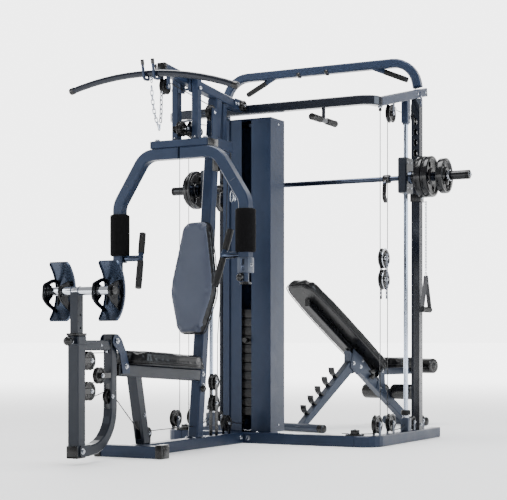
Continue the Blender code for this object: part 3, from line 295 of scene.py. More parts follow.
def sweep(bm, path, section, closed=False, normal=None):
    """Carries a 2D section along a path; an open sweep is capped."""
    pts = [Vector(p) for p in path]
    count = len(pts)
    rings = []
    side = None
    for i, point in enumerate(pts):
        before = pts[i - 1] if i or closed else point
        after = pts[(i + 1) % count] if i < count - 1 or closed else point
        along = (after - before).normalized()
        if normal is not None:
            side = Vector(normal) - along * along.dot(Vector(normal))
        elif side is None:
            side = (Z if abs(along.z) < 0.8 else Y).cross(along)
        else:
            side = side - along * along.dot(side)
        side = side.normalized()
        other = along.cross(side)
        rings.append([bm.verts.new(point + side * x + other * y) for x, y in section])
    legs = list(zip(rings, rings[1:])) + ([(rings[-1], rings[0])] if closed else [])
    size = len(section)
    for low, high in legs:
        for i in range(size):
            j = (i + 1) % size
            bm.faces.new((low[i], low[j], high[j], high[i]))
    if not closed:
        bm.faces.new(rings[0][::-1])
        bm.faces.new(rings[-1])


def cable(bm, path, radius=0.0025, sides=8):
    sweep(bm, path, oval(radius, radius, sides))


def arc(centre, radius, start, end, steps=10):
    """Points on a circle across X; the angle runs from +Y towards +Z."""
    x, y, z = centre
    angles = [math.radians(start + (end - start) * i / steps) for i in range(steps + 1)]
    return [(x, y + radius * math.cos(a), z + radius * math.sin(a)) for a in angles]


def hex_bolt(bm, place, axis, size=0.0075, washer=True):
    """Washer, six-sided head with a chamfer, standing on a face."""
    put = aim(place, axis)
    base = 0.0
    if washer:
        rim = [(0, 0), (size * 1.45, 0), (size * 1.5, size * 0.08), (size * 1.45, size * 0.2), (0, size * 0.2)]
        lathe(bm, rim, put, 20)
        base = size * 0.18
    lathe(bm, [(0, base), (size, base), (size, base + size * 0.55), (size * 0.86, base + size * 0.68),
               (0, base + size * 0.7)], put, 6)


def dome_bolt(bm, place, axis, size=0.008):
    lathe(bm, [(0, 0), (size, 0), (size, size * 0.15), (size * 0.85, size * 0.42), (size * 0.5, size * 0.62),
               (0, size * 0.7)], aim(place, axis), 20)


def wheel(bm, centre, radius, width=0.022, axis=(1, 0, 0), holes=5):
    """A grooved pulley with a dished web, spokes between dimples and a raised hub."""
    half = width / 2
    put = aim(Vector(centre), axis)
    web = half * 0.55
    r = radius
    side = [(0.0055, half + 0.003), (0.0125, half + 0.003), (0.014, half), (0.015, web), (r * 0.7, web),
            (r * 0.74, half * 0.9), (r * 0.8, half), (r - 0.0008, half), (r, half - 0.001),
            (r, half - 0.0022)]
    groove = [(r - 0.006, half * 0.45), (r - 0.0095, half * 0.18), (r - 0.01, 0)]
    profile = side + groove
    profile = profile + [(radius_, -height) for radius_, height in reversed(profile[:-1])]
    rings = lathe(bm, profile, put, 36)
    first, last = rings[0], rings[-1]
    for i in range(36):
        j = (i + 1) % 36
        bm.faces.new((last[i], last[j], first[j], first[i]))
    for k in range(holes):
        a = 2 * math.pi * k / holes + 0.3
        rr = (0.015 + r * 0.7) / 2
        size = min((r * 0.7 - 0.015) / 2 * 0.72, rr * math.sin(math.pi / holes) * 0.72)
        for s in (-1, 1):
            spot = put @ Matrix.Translation((rr * math.cos(a), rr * math.sin(a), s * web))
            lathe(bm, [(0, s * 0.0014), (size * 0.8, s * 0.0014), (size, 0.0), (size, -s * 0.0004)], spot, 12)


def make(name, bm, material, body, angle=38, also=()):
    """Turns the collected mesh into a piece that rides on a body."""
    bmesh.ops.recalc_face_normals(bm, faces=bm.faces)
    mesh = bpy.data.meshes.new(name)
    bm.to_mesh(mesh)
    bm.free()
    mesh.shade_smooth()
    mesh.set_sharp_from_angle(angle=math.radians(angle))
    obj = bpy.data.objects.new(name, mesh)
    bpy.context.scene.collection.objects.link(obj)
    obj.data.materials.append(material)
    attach(obj, body)
    if also:
        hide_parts(*also)
    return obj


KITS = {}
# Small pieces in the lighter copy of the blue take painted light on the frame's own paint.
KIT_LOOKS = {"bolts": (ZINC, "chain"), "links": (ZINC, "chain"), "cables": (SHEATH, "cable"),
             "caps": (PLASTIC, "black_plastic"), "pulleys": (PLASTIC, "black_plastic"),
             "chrome": (CHROME, "chrome"), "dark": (DARK_CHROME, "chrome"), "rubber": (RUBBER, "foam"),
             "brackets": (BLUE, "blue_frame"), "welds": (BLUE, "blue_frame"), "pale": (PAINTED_LIT_BLUE, "blue_frame"),
             "black": (BLACK_METAL, "black_metal")}


def kit(body, kind):
    """The mesh that collects a body's small pieces of one kind."""
    if (body, kind) not in KITS:
        KITS[body, kind] = bmesh.new()
    return KITS[body, kind]


def build_kits():
    """Turns every collected mesh into a piece."""
    for (body, kind), bm in sorted(KITS.items(), key=lambda item: item[0]):
        material, slot = KIT_LOOKS[kind]
        make(f"{body}_{kind}", bm, material, body)


# ---------------------------------------------------------------- larger shapes
def chain(bm, path, pitch=0.0125, wire=0.0016):
    """Interlocking oval links set edge on and flat on in turn along a path."""
    pts = [Vector(p) for p in path]
    lengths = [(b - a).length for a, b in zip(pts, pts[1:])]
    total = sum(lengths)

    def along(distance):
        for a, b, length in zip(pts, pts[1:], lengths):
            if distance <= length:
                return a.lerp(b, distance / length), (b - a).normalized()
            distance -= length
        return pts[-1], (pts[-1] - pts[-2]).normalized()

    for i in range(max(int(total / pitch), 1)):
        centre, way = along((i + 0.5) * pitch)
        put = aim(centre, way, X if abs(way.x) < 0.9 else Y)
        put = put @ Matrix.Rotation(math.pi / 2 * (i % 2) + 0.25, 4, "Z")
        half, radius = pitch * 0.3, pitch * 0.3
        loop = []
        for side in (1, -1):
            for k in range(7):
                a = math.pi * k / 6
                loop.append(put @ Vector((side * radius * math.cos(a), 0,
                                          side * (half + radius * math.sin(a)))))
        sweep(bm, loop, oval(wire, wire, 7), closed=True, normal=put.to_3x3() @ Y)


def holed_wall(bm, place, width, cells, wall=0.003):
    """A strip along Z of place; a cell is (start, end) or (start, end, half length, radius) with a slot."""
    count = 24
    for cell in cells:
        z0, z1 = cell[:2]
        corners = [(-width / 2, z0), (width / 2, z0), (width / 2, z1), (-width / 2, z1)]
        if len(cell) == 2:
            grid = [[bm.verts.new(place @ Vector((x, d, z))) for x, z in corners] for d in (0, -wall)]
            bm.faces.new(grid[0])
            bm.faces.new(grid[1][::-1])
            continue
        half, radius = cell[2:]
        mid = (z0 + z1) / 2
        outer, inner = [], []
        for k in range(count):
            a = 2 * math.pi * (k + 0.5) / count
            c, s = math.cos(a), math.sin(a)
            reach = min(width / 2 / max(abs(c), 1e-6), (z1 - z0) / 2 / max(abs(s), 1e-6))
            outer.append((reach * c, mid + reach * s))
            inner.append((radius * c, mid + radius * s + math.copysign(half, s)))
        front = [[bm.verts.new(place @ Vector((x, 0, z))) for x, z in ring] for ring in (outer, inner)]
        back = [bm.verts.new(place @ Vector((x, -wall, z))) for x, z in inner]
        corner_at = {count // 8 - 1: 2, 3 * count // 8 - 1: 3, 5 * count // 8 - 1: 0, 7 * count // 8 - 1: 1}
        for k in range(count):
            j = (k + 1) % count
            face = [front[0][k], front[0][j], front[1][j], front[1][k]]
            if k in corner_at:
                x, z = corners[corner_at[k]]
                face.insert(1, bm.verts.new(place @ Vector((x, 0, z))))
            bm.faces.new(face)
            bm.faces.new((front[1][k], front[1][j], back[j], back[k]))


def square_tube(bm, x, y, half, even_walls, odd_walls):
    """Four holed walls that meet in an upright tube; the cells are those of holed_wall."""
    for quarter in range(4):
        put = Matrix.Translation((x, y, 0)) @ Matrix.Rotation(math.pi / 2 * quarter, 4, "Z") \
            @ Matrix.Translation((0, half, 0))
        holed_wall(bm, put, half * 2, odd_walls if quarter % 2 else even_walls)


def disc_plate(bm, centre, out, radius, width):
    """A cast weight disc: raised rim and hub, dished web with grip slots, and an eye for the sleeve."""
    put = aim(centre, (out, 0, 0))
    face = [(0.0262, 0.0015), (0.0275, 0), (0.043, 0), (0.046, 0.004), (0.05, width * 0.28),
            (radius * 0.8, width * 0.26), (radius * 0.84, 0.003), (radius * 0.87, 0),
            (radius - 0.005, 0), (radius - 0.0015, 0.0015), (radius, 0.005)]
    profile = face + [(r, width - h) for r, h in reversed(face)]
    rings = lathe(bm, profile, put, 56)
    for i in range(56):
        j = (i + 1) % 56
        bm.faces.new((rings[-1][i], rings[-1][j], rings[0][j], rings[0][i]))
    for side in (0, 1):
        level = width * 0.27 if side == 0 else width * 0.73
        lift = -0.0035 if side == 0 else 0.0035
        for k in range(4):
            a = math.pi / 2 * k + 0.4
            mid = (0.05 + radius * 0.8) / 2
            spot = put @ Matrix.Rotation(a, 4, "Z") @ Matrix.Translation((mid, 0, level))
            ridge = [spot @ Vector((0.4 * (radius * 0.8 - 0.05) * t, 0, lift * (1 - abs(t) ** 3)))
                     for t in (-1, -0.5, 0, 0.5, 1)]
            sweep(bm, ridge, oval(0.0085, 0.0028, 10), normal=spot.to_3x3() @ Y)


def cutout_plate(bm, outline, holes, thickness, place):
    """A flat plate with openings, in the XY of place, with a small bevel."""
    curve = bpy.data.curves.new("cutout", "CURVE")
    curve.dimensions = "2D"
    curve.fill_mode = "BOTH"
    curve.extrude = thickness / 2 - 0.0006
    curve.bevel_depth = 0.0006
    curve.bevel_resolution = 1
    for loop in (outline, *holes):
        line = curve.splines.new("POLY")
        line.points.add(len(loop) - 1)
        for point, (x, y) in zip(line.points, loop):
            point.co = (x, y, 0, 1)
        line.use_cyclic_u = True
    temp = bpy.data.objects.new("cutout", curve)
    bpy.context.scene.collection.objects.link(temp)
    mesh = bpy.data.meshes.new_from_object(temp)
    before = len(bm.verts)
    bm.from_mesh(mesh)
    bm.verts.ensure_lookup_table()
    bmesh.ops.transform(bm, matrix=place, verts=bm.verts[before:])
    bpy.data.objects.remove(temp)
    bpy.data.curves.remove(curve)
    bpy.data.meshes.remove(mesh)


def polygon_fillet(points, radius, steps=4):
    """Rounds the corners of a closed outline."""
    out = []
    count = len(points)
    for i in range(count):
        a, b, c = (Vector(points[(i + k) % count]) for k in (-1, 0, 1))
        ta, tc = (a - b), (c - b)
        reach = min(radius, ta.length * 0.45, tc.length * 0.45)
        start, end = b + ta.normalized() * reach, b + tc.normalized() * reach
        for k in range(steps + 1):
            t = k / steps
            out.append(tuple(start * (1 - t) ** 2 + b * 2 * t * (1 - t) + end * t ** 2))
    return out


def pad(name, outline, thickness, place, body, corner=0.035, face=None):
    """A board-backed cushion: the wrapped block is blown up with cloth and keeps its back flat."""
    shape = polygon_fillet(outline, corner, 5)
    centre = Vector((sum(p[0] for p in shape), sum(p[1] for p in shape))) / len(shape)
    inset = [((x - centre.x) * 0.965 + centre.x, (y - centre.y) * 0.982 + centre.y) for x, y in shape]
    bm = bmesh.new()
    plate(bm, inset, thickness * 0.9, Matrix(), thickness * 0.24)
    mesh = bpy.data.meshes.new(name)
    bmesh.ops.recalc_face_normals(bm, faces=bm.faces)
    bm.to_mesh(mesh)
    bm.free()
    obj = bpy.data.objects.new(name, mesh)
    bpy.context.scene.collection.objects.link(obj)
    bpy.context.view_layer.objects.active = obj
    for other in bpy.context.selected_objects:
        other.select_set(False)
    obj.select_set(True)
    remesh = obj.modifiers.new("remesh", "REMESH")
    remesh.mode = "VOXEL"
    remesh.voxel_size = 0.0062
    bpy.ops.object.modifier_apply(modifier="remesh")
    start = [v.co.copy() for v in obj.data.vertices]
    held = obj.vertex_groups.new(name="held")
    held.add([v.index for v in obj.data.vertices if v.co.z < -thickness * 0.22], 1.0, "REPLACE")
    cloth = obj.modifiers.new("cloth", "CLOTH")
    cloth.settings.quality = 5
    cloth.settings.mass = 0.3
    cloth.settings.tension_stiffness = 25
    cloth.settings.compression_stiffness = 25
    cloth.settings.bending_stiffness = 2.0
    cloth.settings.use_pressure = True
    cloth.settings.uniform_pressure_force = 4.5
    cloth.settings.shrink_min = -0.018
    cloth.settings.vertex_group_mass = "held"
    cloth.settings.effector_weights.gravity = 0
    cloth.collision_settings.use_collision = False
    cloth.point_cache.frame_start, cloth.point_cache.frame_end = 1, 20
    for step in range(1, 21):
        bpy.context.scene.frame_set(step)
    bpy.ops.object.modifier_apply(modifier="cloth")
    bpy.context.scene.frame_set(1)
    obj.vertex_groups.clear()
    for vertex, home in zip(obj.data.vertices, start):
        grain = noise.noise(home * 14) * 0.0016 + noise.noise(home * 37) * 0.0005
        move = vertex.co - home
        if move.length > 0.0075:
            move *= 0.0075 / move.length
        vertex.co = home + move
        if home.z > 0:
            vertex.co.z += grain
    smooth = obj.modifiers.new("smooth", "SMOOTH")
    smooth.factor, smooth.iterations = 0.5, 4
    bpy.ops.object.modifier_apply(modifier="smooth")
    finer = obj.modifiers.new("finer", "SUBSURF")
    finer.levels = finer.render_levels = 1
    bpy.ops.object.modifier_apply(modifier="finer")
    obj.data.shade_smooth()
    obj.matrix_world = place
    obj.data.materials.append(VINYL)
    # The face material is painted sheen: faces that point up out of the cushion's front take the lighter vinyl
    # in place of light reflected off black vinyl.
    if face is not None:
        obj.data.materials.append(face)
        for polygon in obj.data.polygons:
            polygon.material_index = int(polygon.center.z > thickness * 0.02 and polygon.normal.z > 0.35)
    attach(obj, body)
    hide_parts(name.replace("_cushion", ""))
    rim = [((x - centre.x) * 0.975 + centre.x, (y - centre.y) * 0.988 + centre.y) for x, y in shape]
    for label, level, radius in (("seam", -thickness * 0.2, 0.0022),
                                 ("board_edge", -thickness * 0.44, 0.003)):
        line = bmesh.new()
        sweep(line, [place @ Vector((x, y, level)) for x, y in rim], oval(radius, radius, 8), closed=True,
              normal=place.to_3x3() @ Z)
        make(f"{name}_{label}", line, PIPING, body)
    return obj


def foam_roll(name, ends, radius, body, nodes, skin=FOAM):
    """A foam sleeve with softly rounded ends, a slight swell and dents, round the bar it covers."""
    bm = bmesh.new()
    for start, end in ends:
        start, end = Vector(start), Vector(end)
        length = (end - start).length
        soft = radius * 0.2
        profile = [(radius * 0.36, soft * 0.4), (radius * 0.42, 0.001), (radius - soft, 0)]
        for k in range(1, 5):
            a = math.pi / 2 * k / 4
            profile.append((radius - soft + soft * math.sin(a), soft - soft * math.cos(a)))
        rows = 14
        profile += [(radius, soft + (length - 2 * soft) * k / rows) for k in range(1, rows)]
        profile += [(r, length - h) for r, h in reversed(profile[:7])]
        put = aim(start, end - start)
        rings = lathe(bm, profile, put, 40)
        for ring in rings:
            for vertex in ring:
                local = put.inverted() @ vertex.co
                swell = 1 + 0.012 * math.sin(math.pi * local.z / length)
                swell += 0.01 * noise.noise(vertex.co * 22) + 0.004 * noise.noise(vertex.co * 70)
                flat = Vector((local.x, local.y, 0)) * swell
                vertex.co = put @ Vector((flat.x, flat.y, local.z))
    obj = make(name, bm, skin, body, also=nodes)
    return obj


def end_cap(body, centre, axis, half_a, half_b, depth=0.006, up=(0, 0, 1)):
    """A push-in plastic cap on the end of a square tube."""
    put = aim(centre, axis, up)
    block(kit(body, "caps"), (-half_b, -half_a, 0), (half_b, half_a, depth), 0.002, put)
    block(kit(body, "caps"), (-half_b * 0.72, -half_a * 0.72, depth * 0.8),
          (half_b * 0.72, half_a * 0.72, depth + 0.0012), 0.001, put)


def turned(body, kind, profile, place, axis, steps=24):
    """A lathed fitting whose heights run from place along axis."""
    lathe(kit(body, kind), profile, aim(place, axis), steps)


def bolt(body, place, axis, size=0.0075):
    hex_bolt(kit(body, "bolts"), place, axis, size)


def dome(body, place, axis, size=0.008):
    dome_bolt(kit(body, "bolts"), place, axis, size)


def through_bolt(body, centre, half, size=0.0075, axis=X):
    """The head and the nut of a bolt, half to either side of centre."""
    centre, axis = Vector(centre), Vector(axis)
    for side in (-1, 1):
        bolt(body, centre + axis * half * side, axis * side, size)


UPRIGHT = Matrix.Rotation(math.pi / 2, 4, "Y")
LEVEL = Matrix.Rotation(math.pi / 2, 4, "Z") @ Matrix.Rotation(math.pi / 2, 4, "X")
ACROSS_X = Matrix(((0, 0, 1, 0), (1, 0, 0, 0), (0, 1, 0, 0), (0, 0, 0, 1)))


def straps(body, kind, centre, half, length, radius, turn=UPRIGHT, thick=0.0028):
    """Two round-ended straps, half to either side of centre, upright or level along Y."""
    for side in (-1, 1):
        plate(kit(body, kind), capsule(length, radius), thick,
              Matrix.Translation(Vector(centre) + X * side * half) @ turn)


def grip(body, start, end, radius, ridge, swell, steps, lip, sides=20):
    """A rubber sleeve with fine rings round it that swells a little towards its middle."""
    start, end = Vector(start), Vector(end)
    length = (end - start).length
    rows = [(0, 0)]
    for k in range(steps + 1):
        rows.append((radius + ridge * (k % 2) + swell * math.sin(math.pi * k / steps),
                     lip + (length - 2 * lip) * k / steps))
    rows.append((0, length))
    lathe(kit(body, "rubber"), rows, aim(start, end - start), sides)


def forked_wheel(centre, radius, foot_z, wide=0.0195, kind="pale"):
    """A pulley between two upright straps that stand on a surface at foot_z, with a bolt through them."""
    centre = Vector(centre)
    wheel(kit("frame", "pulleys"), centre, radius, 0.024)
    low, high = sorted((foot_z, centre.z))
    # By default the straps take the lighter blue copy: painted light.
    straps("frame", kind, (centre.x, centre.y, (low + high) / 2), wide - 0.0012, high - low + 0.026, 0.013)
    through_bolt("frame", centre, wide + 0.0002, 0.0072)
    rod(kit("frame", "bolts"), centre - X * wide, centre + X * wide, 0.0045)


# ---------------------------------------------------------------- finishes of the kept steel parts
FINISH = {
    BLUE: ("base_frame", "base_left_rail", "base_right_rail", "main_mast", "weight_shroud",
           "top_left_rail", "top_right_rail", "pull_up_arch", "lat_boom", "press_hanger", "left_press_arm",
           "right_press_arm"),
    # The leg station, the sliders and the seat beam take the darker blue copy: painted shade on the frame's own
    # paint.
    PAINTED_SHADE_BLUE: ("leg_frame", "press_lever", "left_slider", "right_slider", "seat_beam"),
    # The bench frame's lighter blue is painted light on the same paint as the main frame.
    PAINTED_LIT_BLUE: ("bench_frame", "bench_seat_frame"),
    # The top front beam's dark blue is painted shade on the frame's paint; the lat bar is dark in itself.
    DARK_BLUE_AND_PAINTED_SHADE: ("top_front_beam", "lat_bar"),
    BLACK_METAL: ("bench_back_frame",),
    STEEL: ("left_guide_rod", "right_guide_rod"),
    DARK_CHROME: ("smith_bar", "stack_frame"),
    STACK_IRON: ("resting_plates", "lifted_plates"),
    PLASTIC: ("selector_pin",),
    SHEATH: ("stack_cable", "leg_cable", "left_upper_cable", "right_upper_cable", "left_lower_cable",
             "right_lower_cable"),
}
for finish, names in FINISH.items():
    for node in names:
        NODES[node].data.materials.clear()
        NODES[node].data.materials.append(finish)


# ---------------------------------------------------------------- pads and rollers
def lean(point, angle):
    return Matrix.Translation(point) @ Matrix.Rotation(math.radians(angle), 4, "X")


def both_sides(shape):
    return [(w, y) for y, w in shape] + [(-w, y) for y, w in reversed(shape)]


FLIP = Matrix.Rotation(math.pi / 2, 4, "X")
back_place = lean((0, -0.478, 0.9), -6.6) @ Matrix.Translation((0, -0.0455, -0.9)) @ FLIP
# The back pad's front face takes the painted sheen vinyl.
pad("back_pad_cushion", both_sides([(0.6, 0.07), (0.64, 0.087), (0.81, 0.138), (0.9, 0.13), (1.16, 0.082),
                                    (1.2, 0.062)]), 0.064, back_place, "frame", 0.06, PAINTED_SHEEN_VINYL)
seat_place = lean((0, -0.9, 0.4425), -3.3) @ Matrix.Translation((0, 0.9, 0.029))
pad("seat_pad_cushion", both_sides([(-1.195, 0.06), (-1.15, 0.11), (-0.95, 0.155), (-0.7, 0.15),
                                    (-0.6, 0.112), (-0.57, 0.064)]), 0.066, seat_place, "frame", 0.06)
slope = math.tan(BENCH_SLOPE)
rest_place = BENCH @ Matrix.Translation((0, 0, 0.559 - 0.5 * slope)) @ Matrix.Rotation(BENCH_SLOPE, 4, "X")
rest_shape = [(y / math.cos(BENCH_SLOPE), w) for y, w in
              ((-0.03, 0.09), (0.02, 0.115), (0.18, 0.135), (0.48, 0.135), (0.68, 0.125), (0.735, 0.1))]
pad("bench_back_pad_cushion", both_sides(rest_shape), 0.065, rest_place, "bench_back")
pad("bench_seat_pad_cushion", both_sides([(0.8, 0.15), (1.026, 0.15)]), 0.0625,
    BENCH @ Matrix.Translation((0, 0, 0.42475)), "bench_seat")

for side, name in ((-1, "left"), (1, "right")):
    x = side * ARM_X
    foam_roll(f"{name}_arm_foam", [((x, ARM_Y, 1.02), (x, ARM_Y, 1.242))], 0.052, f"{name}_arm",
              [f"{name}_foam_roller"])
for name, height in (("lower", (0.873, 0.232)), ("upper", (1.0855, 0.4026))):
    centre = Vector((0, *height))
    ends = [(BENCH @ (centre + X * side * 0.034), BENCH @ (centre + X * side * 0.211)) for side in (-1, 1)]
    body = f"bench_{name}_rollers"
    foam_roll(f"bench_{name}_foams", ends, 0.05, body, [body], ROLL_VINYL)
    axle = kit(body, "chrome")
    rod(axle, BENCH @ (centre - X * 0.214), BENCH @ (centre + X * 0.214), 0.01)
    for side in (-1, 1):
        turned(body, "caps", [(0, 0.006), (0.014, 0.006), (0.022, 0.003), (0.024, 0), (0, 0)],
               BENCH @ (centre + X * side * 0.2085), BENCH.to_3x3() @ X * side)


# ---------------------------------------------------------------- lat station
lat_links = kit("frame", "links")
chain(lat_links, smooth_path([(0, -0.8495, 1.838), (0, -0.8515, 1.78), (0, -0.853, 1.73),
                              (0, -0.858, 1.685), (0, -0.864, 1.66)], 6), 0.023, 0.003)
chain(lat_links, smooth_path([(0, -0.88, 1.655), (0, -0.893, 1.675), (0, -0.915, 1.715), (0, -0.932, 1.77),
                              (0, -0.9415, 1.825), (0, -0.944, 1.868)], 6), 0.023, 0.003)
shackle = [(0, -0.8635, 1.662), (0, -0.866, 1.645), (0, -0.872, 1.636), (0, -0.8785, 1.645),
           (0, -0.88, 1.662)]
sweep(lat_links, smooth_path(shackle, 6), oval(0.004, 0.004, 8))
rod(lat_links, (-0.008, -0.872, 1.6635), (0.008, -0.872, 1.6635), 0.0038)
rod(lat_links, (0, -0.86, 1.6635), (0, -0.884, 1.6635), 0.003)
top_y = -0.815 - 0.0345
route = [(0, top_y, 1.835)] + arc((0, -0.815, 1.866), 0.0345, 180, 80, 12)
route += arc((0.03, -0.4, 1.79), 0.0365, 80, 0, 12) + [(0.03, -0.3635, 1.6605)]
line = bmesh.new()
cable(line, route, 0.0028, 10)
rod(line, (0, top_y, 1.836), (0, top_y, 1.862), 0.005)
make("lat_line", line, SHEATH, "frame", also=["lat_cable"])
spin = bmesh.new()
wheel(spin, (0, -0.815, 1.866), 0.0405, 0.024)
make("lat_wheel", spin, PLASTIC, "lat_pulley", also=["lat_pulley"])
through_bolt("frame", (0, -0.815, 1.866), 0.024, 0.008)
wheel(kit("frame", "pulleys"), (0.03, -0.4, 1.79), 0.042, 0.022)
for side in (-1, 1):
    dome("frame", (side * 0.056, -0.4, 1.79), (side, 0, 0), 0.009)
    tip = aim((side * 0.03, -0.9795, 1.952), (0, -0.2, 1.0))
    block(kit("frame", "caps"), (-0.0062, -0.0085, -0.002), (0.0062, 0.0085, 0.026), 0.003, tip)
    rod(kit("frame", "black"), (side * 0.03, -0.853, 1.94), (side * 0.03, -0.857, 1.966), 0.005)
    rod(kit("frame", "caps"), (side * 0.03, -0.8565, 1.96), (side * 0.03, -0.8585, 1.976), 0.0064)
    hex_bolt(kit("frame", "caps"), (side * 0.016, -0.853, 1.9435), Z, 0.005)
    end = Vector((side * 0.4885, -0.945, 1.8343 - 0.052 * side * 0.49))
    way = Vector((side, 0, -0.318 - 0.052 * side)).normalized()
    turned("lat_bar", "caps", [(0, 0.008), (0.012, 0.0072), (0.0172, 0.003), (0.0178, 0.0005),
                               (0.0178, -0.02), (0.0166, -0.021)], end, way, 20)
rod(kit("lat_bar", "chrome"), (0, -0.945, 1.897), (0, -0.945, 1.881), 0.0095)
ring = [Vector((0, -0.945, 1.8735)) + Vector((0, 0.0085 * math.cos(a), 0.0085 * math.sin(a)))
        for a in [2 * math.pi * i / 18 for i in range(18)]]
sweep(kit("lat_bar", "links"), ring, oval(0.0022, 0.0022, 8), closed=True, normal=X)
end_cap("frame", (0, -0.85, 1.88 - (-0.85 + 0.08) * 0.1014), (0, -1, 0.1), 0.0245, 0.0245, 0.004)
wheel(kit("frame", "pulleys"), (0.039, -0.052, 1.877), 0.03, 0.02)
bolt("frame", (0.05, -0.052, 1.877), X, 0.0085)
for low, high in ((-0.0285, -0.0252), (0.0252, 0.0285)):
    block(kit("frame", "brackets"), (low, -0.125, 1.852), (high, -0.028, 1.912), 0.001)
for y in (-0.108, -0.08):
    through_bolt("frame", (0, y, 1.884), 0.0285, 0.0065)

# ---------------------------------------------------------------- press hanger and its arms
for side in (-1, 1):
    end_cap("press_hanger", (side * 0.172, -0.6275, 1.5955), (side, 0, 0), 0.019, 0.051, 0.005)
    bolt("press_hanger", (side * 0.145, ARM_Y, 1.6155), Z, 0.012)
    dome("press_hanger", (side * 0.084, -0.6, 1.886), (side, 0, 0), 0.01)
    dome("press_hanger", (side * 0.06, -0.6222, 1.632), (0, -1, 0), 0.0055)
    block(kit("press_hanger", "caps"), (side * 0.06 - 0.0185, -0.6225, 1.958),
          (side * 0.06 + 0.0185, -0.5775, 1.964), 0.002)
for y in (-0.652, -0.522):
    wheel(kit("press_hanger", "pulleys"), (0, y, 1.672), 0.04, 0.022)
    rod(kit("press_hanger", "bolts"), (-0.0415, y, 1.672), (0.0415, y, 1.672), 0.0045)
    through_bolt("press_hanger", (0, y, 1.672), 0.0415, 0.0065)
straps("press_hanger", "black", (0, -0.587, 1.672), 0.04, 0.176, 0.018, LEVEL, 0.003)

for side, name in ((-1, "left"), (1, "right")):
    body = f"{name}_arm"
    x = side * ARM_X
    turned(body, "bolts", [(0, -0.0005), (0.016, -0.0005), (0.016, 0.001), (0, 0.001)],
           (side * 0.145, ARM_Y, 1.5744), Z, 20)
    low, high = Vector((side * 0.232, ARM_Y - 0.05, 0.85)), Vector((side * 0.2665, ARM_Y + 0.047, 1.14))
    for share0, share1 in ((0.63, 1.012), (-0.012, 0.49)):
        grip(body, low.lerp(high, share0), low.lerp(high, share1), 0.0172, 0.0007, 0.0008, 26, 0.0015)
    rod(kit(body, "dark"), (side * 0.25, ARM_Y, 1.006), (side * 0.375, ARM_Y, 1.006), 0.015)
    turned(body, "caps", [(0.0175, 0), (0.0285, 0.001), (0.029, 0.01), (0.018, 0.012)], (x, ARM_Y, 0.868),
           -Z)
    turned(body, "caps", [(0, 0.014), (0.015, 0.0125), (0.0185, 0.007), (0.019, 0)], (x, ARM_Y, 0.87), -Z)
    # weld ripple at the bend of the arm
    bead = [Vector((side * (0.32 + 0.004 * i), ARM_Y - 0.0292, 1.39 + 0.0022 * i)) for i in range(-3, 4)]
    # The weld bead takes the lighter blue copy: painted light.
    sweep(kit(body, "pale"), bead, oval(0.0022, 0.0022, 6))
# The block on the right arm takes the lighter blue copy: painted light.
block(kit("right_arm", "pale"), (ARM_X - 0.0325, ARM_Y - 0.0325, 0.915),
      (ARM_X + 0.0325, ARM_Y + 0.0325, 0.994), 0.004)
block(kit("right_arm", "dark"), (ARM_X - 0.01, ARM_Y - 0.0345, 0.925), (ARM_X + 0.01, ARM_Y - 0.032, 0.985),
      0.001)
bolt("right_arm", (ARM_X + 0.0325, ARM_Y, 0.955), X, 0.0075)
turned("right_arm", "caps", [(0, 0.052), (0.009, 0.05), (0.0165, 0.043), (0.02, 0.031), (0.0165, 0.018),
                             (0.008, 0.01), (0.007, 0)], (ARM_X - 0.01, ARM_Y - 0.012, 0.92),
       (-0.35, -0.35, -1))
block(kit("right_arm", "caps"), (0.196, ARM_Y - 0.02, 1.44), (0.232, ARM_Y + 0.02, 1.525), 0.004)

# hanging chain and its clip in front of the shroud
hook = kit("frame", "links")
cable(kit("frame", "cables"), [(0.034, -0.186, 1.612), (0.034, -0.184, 1.56), (0.034, -0.181, 1.478)],
      0.0028)
chain(hook, [(0.04, -0.18, 1.482), (0.052, -0.178, 1.43), (0.054, -0.176, 1.33)], 0.018, 0.0022)
chain(hook, [(0.04, -0.18, 1.482), (0.04, -0.178, 1.4)], 0.018, 0.0022)
clip = [(0.03, -0.176, 1.388), (0.026, -0.176, 1.372), (0.027, -0.176, 1.345), (0.034, -0.176, 1.334),
        (0.043, -0.176, 1.345), (0.044, -0.176, 1.372), (0.04, -0.176, 1.388), (0.035, -0.176, 1.395)]
sweep(hook, smooth_path(clip + clip[:1], 4)[:-1], oval(0.003, 0.003, 8), closed=True, normal=Y)
block(kit("frame", "brackets"), (0.024, -0.2005, 1.6), (0.044, -0.176, 1.62), 0.002)

# ---------------------------------------------------------------- mast, seat and shroud fittings
for z in (0.72, 1.06):
    y = -0.51 + (z - 0.06) * 0.116
    for side in (-1, 1):
        bolt("frame", (side * 0.045, y - 0.045, z), (side, 0, 0), 0.007)
for y, z in ((-0.555, 0.405), (-0.553, 0.345)):
    through_bolt("frame", (0, y + 0.075, z - 0.01), 0.0302, 0.0085)
turned("frame", "caps", [(0, 0.026), (0.012, 0.025), (0.017, 0.02), (0.018, 0.008), (0.012, 0.004),
                         (0.01, 0)], (0.03, -0.5, 0.318), X)
end_cap("frame", (0, -1.275, 0.432), (0, -1, 0.05), 0.0288, 0.0288, 0.005)
ear = [(-1.313 + 0.033 * math.cos(a), 0.57 + 0.033 * math.sin(a))
       for a in [math.radians(250 - 20 * k) for k in range(12)]]
ear += [(-1.262, 0.562), (-1.232, 0.52), (-1.2, 0.438), (-1.2, 0.412), (-1.262, 0.412), (-1.268, 0.44),
        (-1.286, 0.51)]
for side in (-1, 1):
    plate(kit("frame", "brackets"), ear, 0.003, Matrix.Translation((side * 0.037, 0, 0)) @ ACROSS_X)
for y, z, half in ((-1.313, 0.57, 0.042), (-1.23, 0.448, 0.0386)):
    through_bolt("frame", (0, y, z), half, 0.009)
through_bolt("frame", (0, -1.048, 0.205), 0.0272, 0.007)
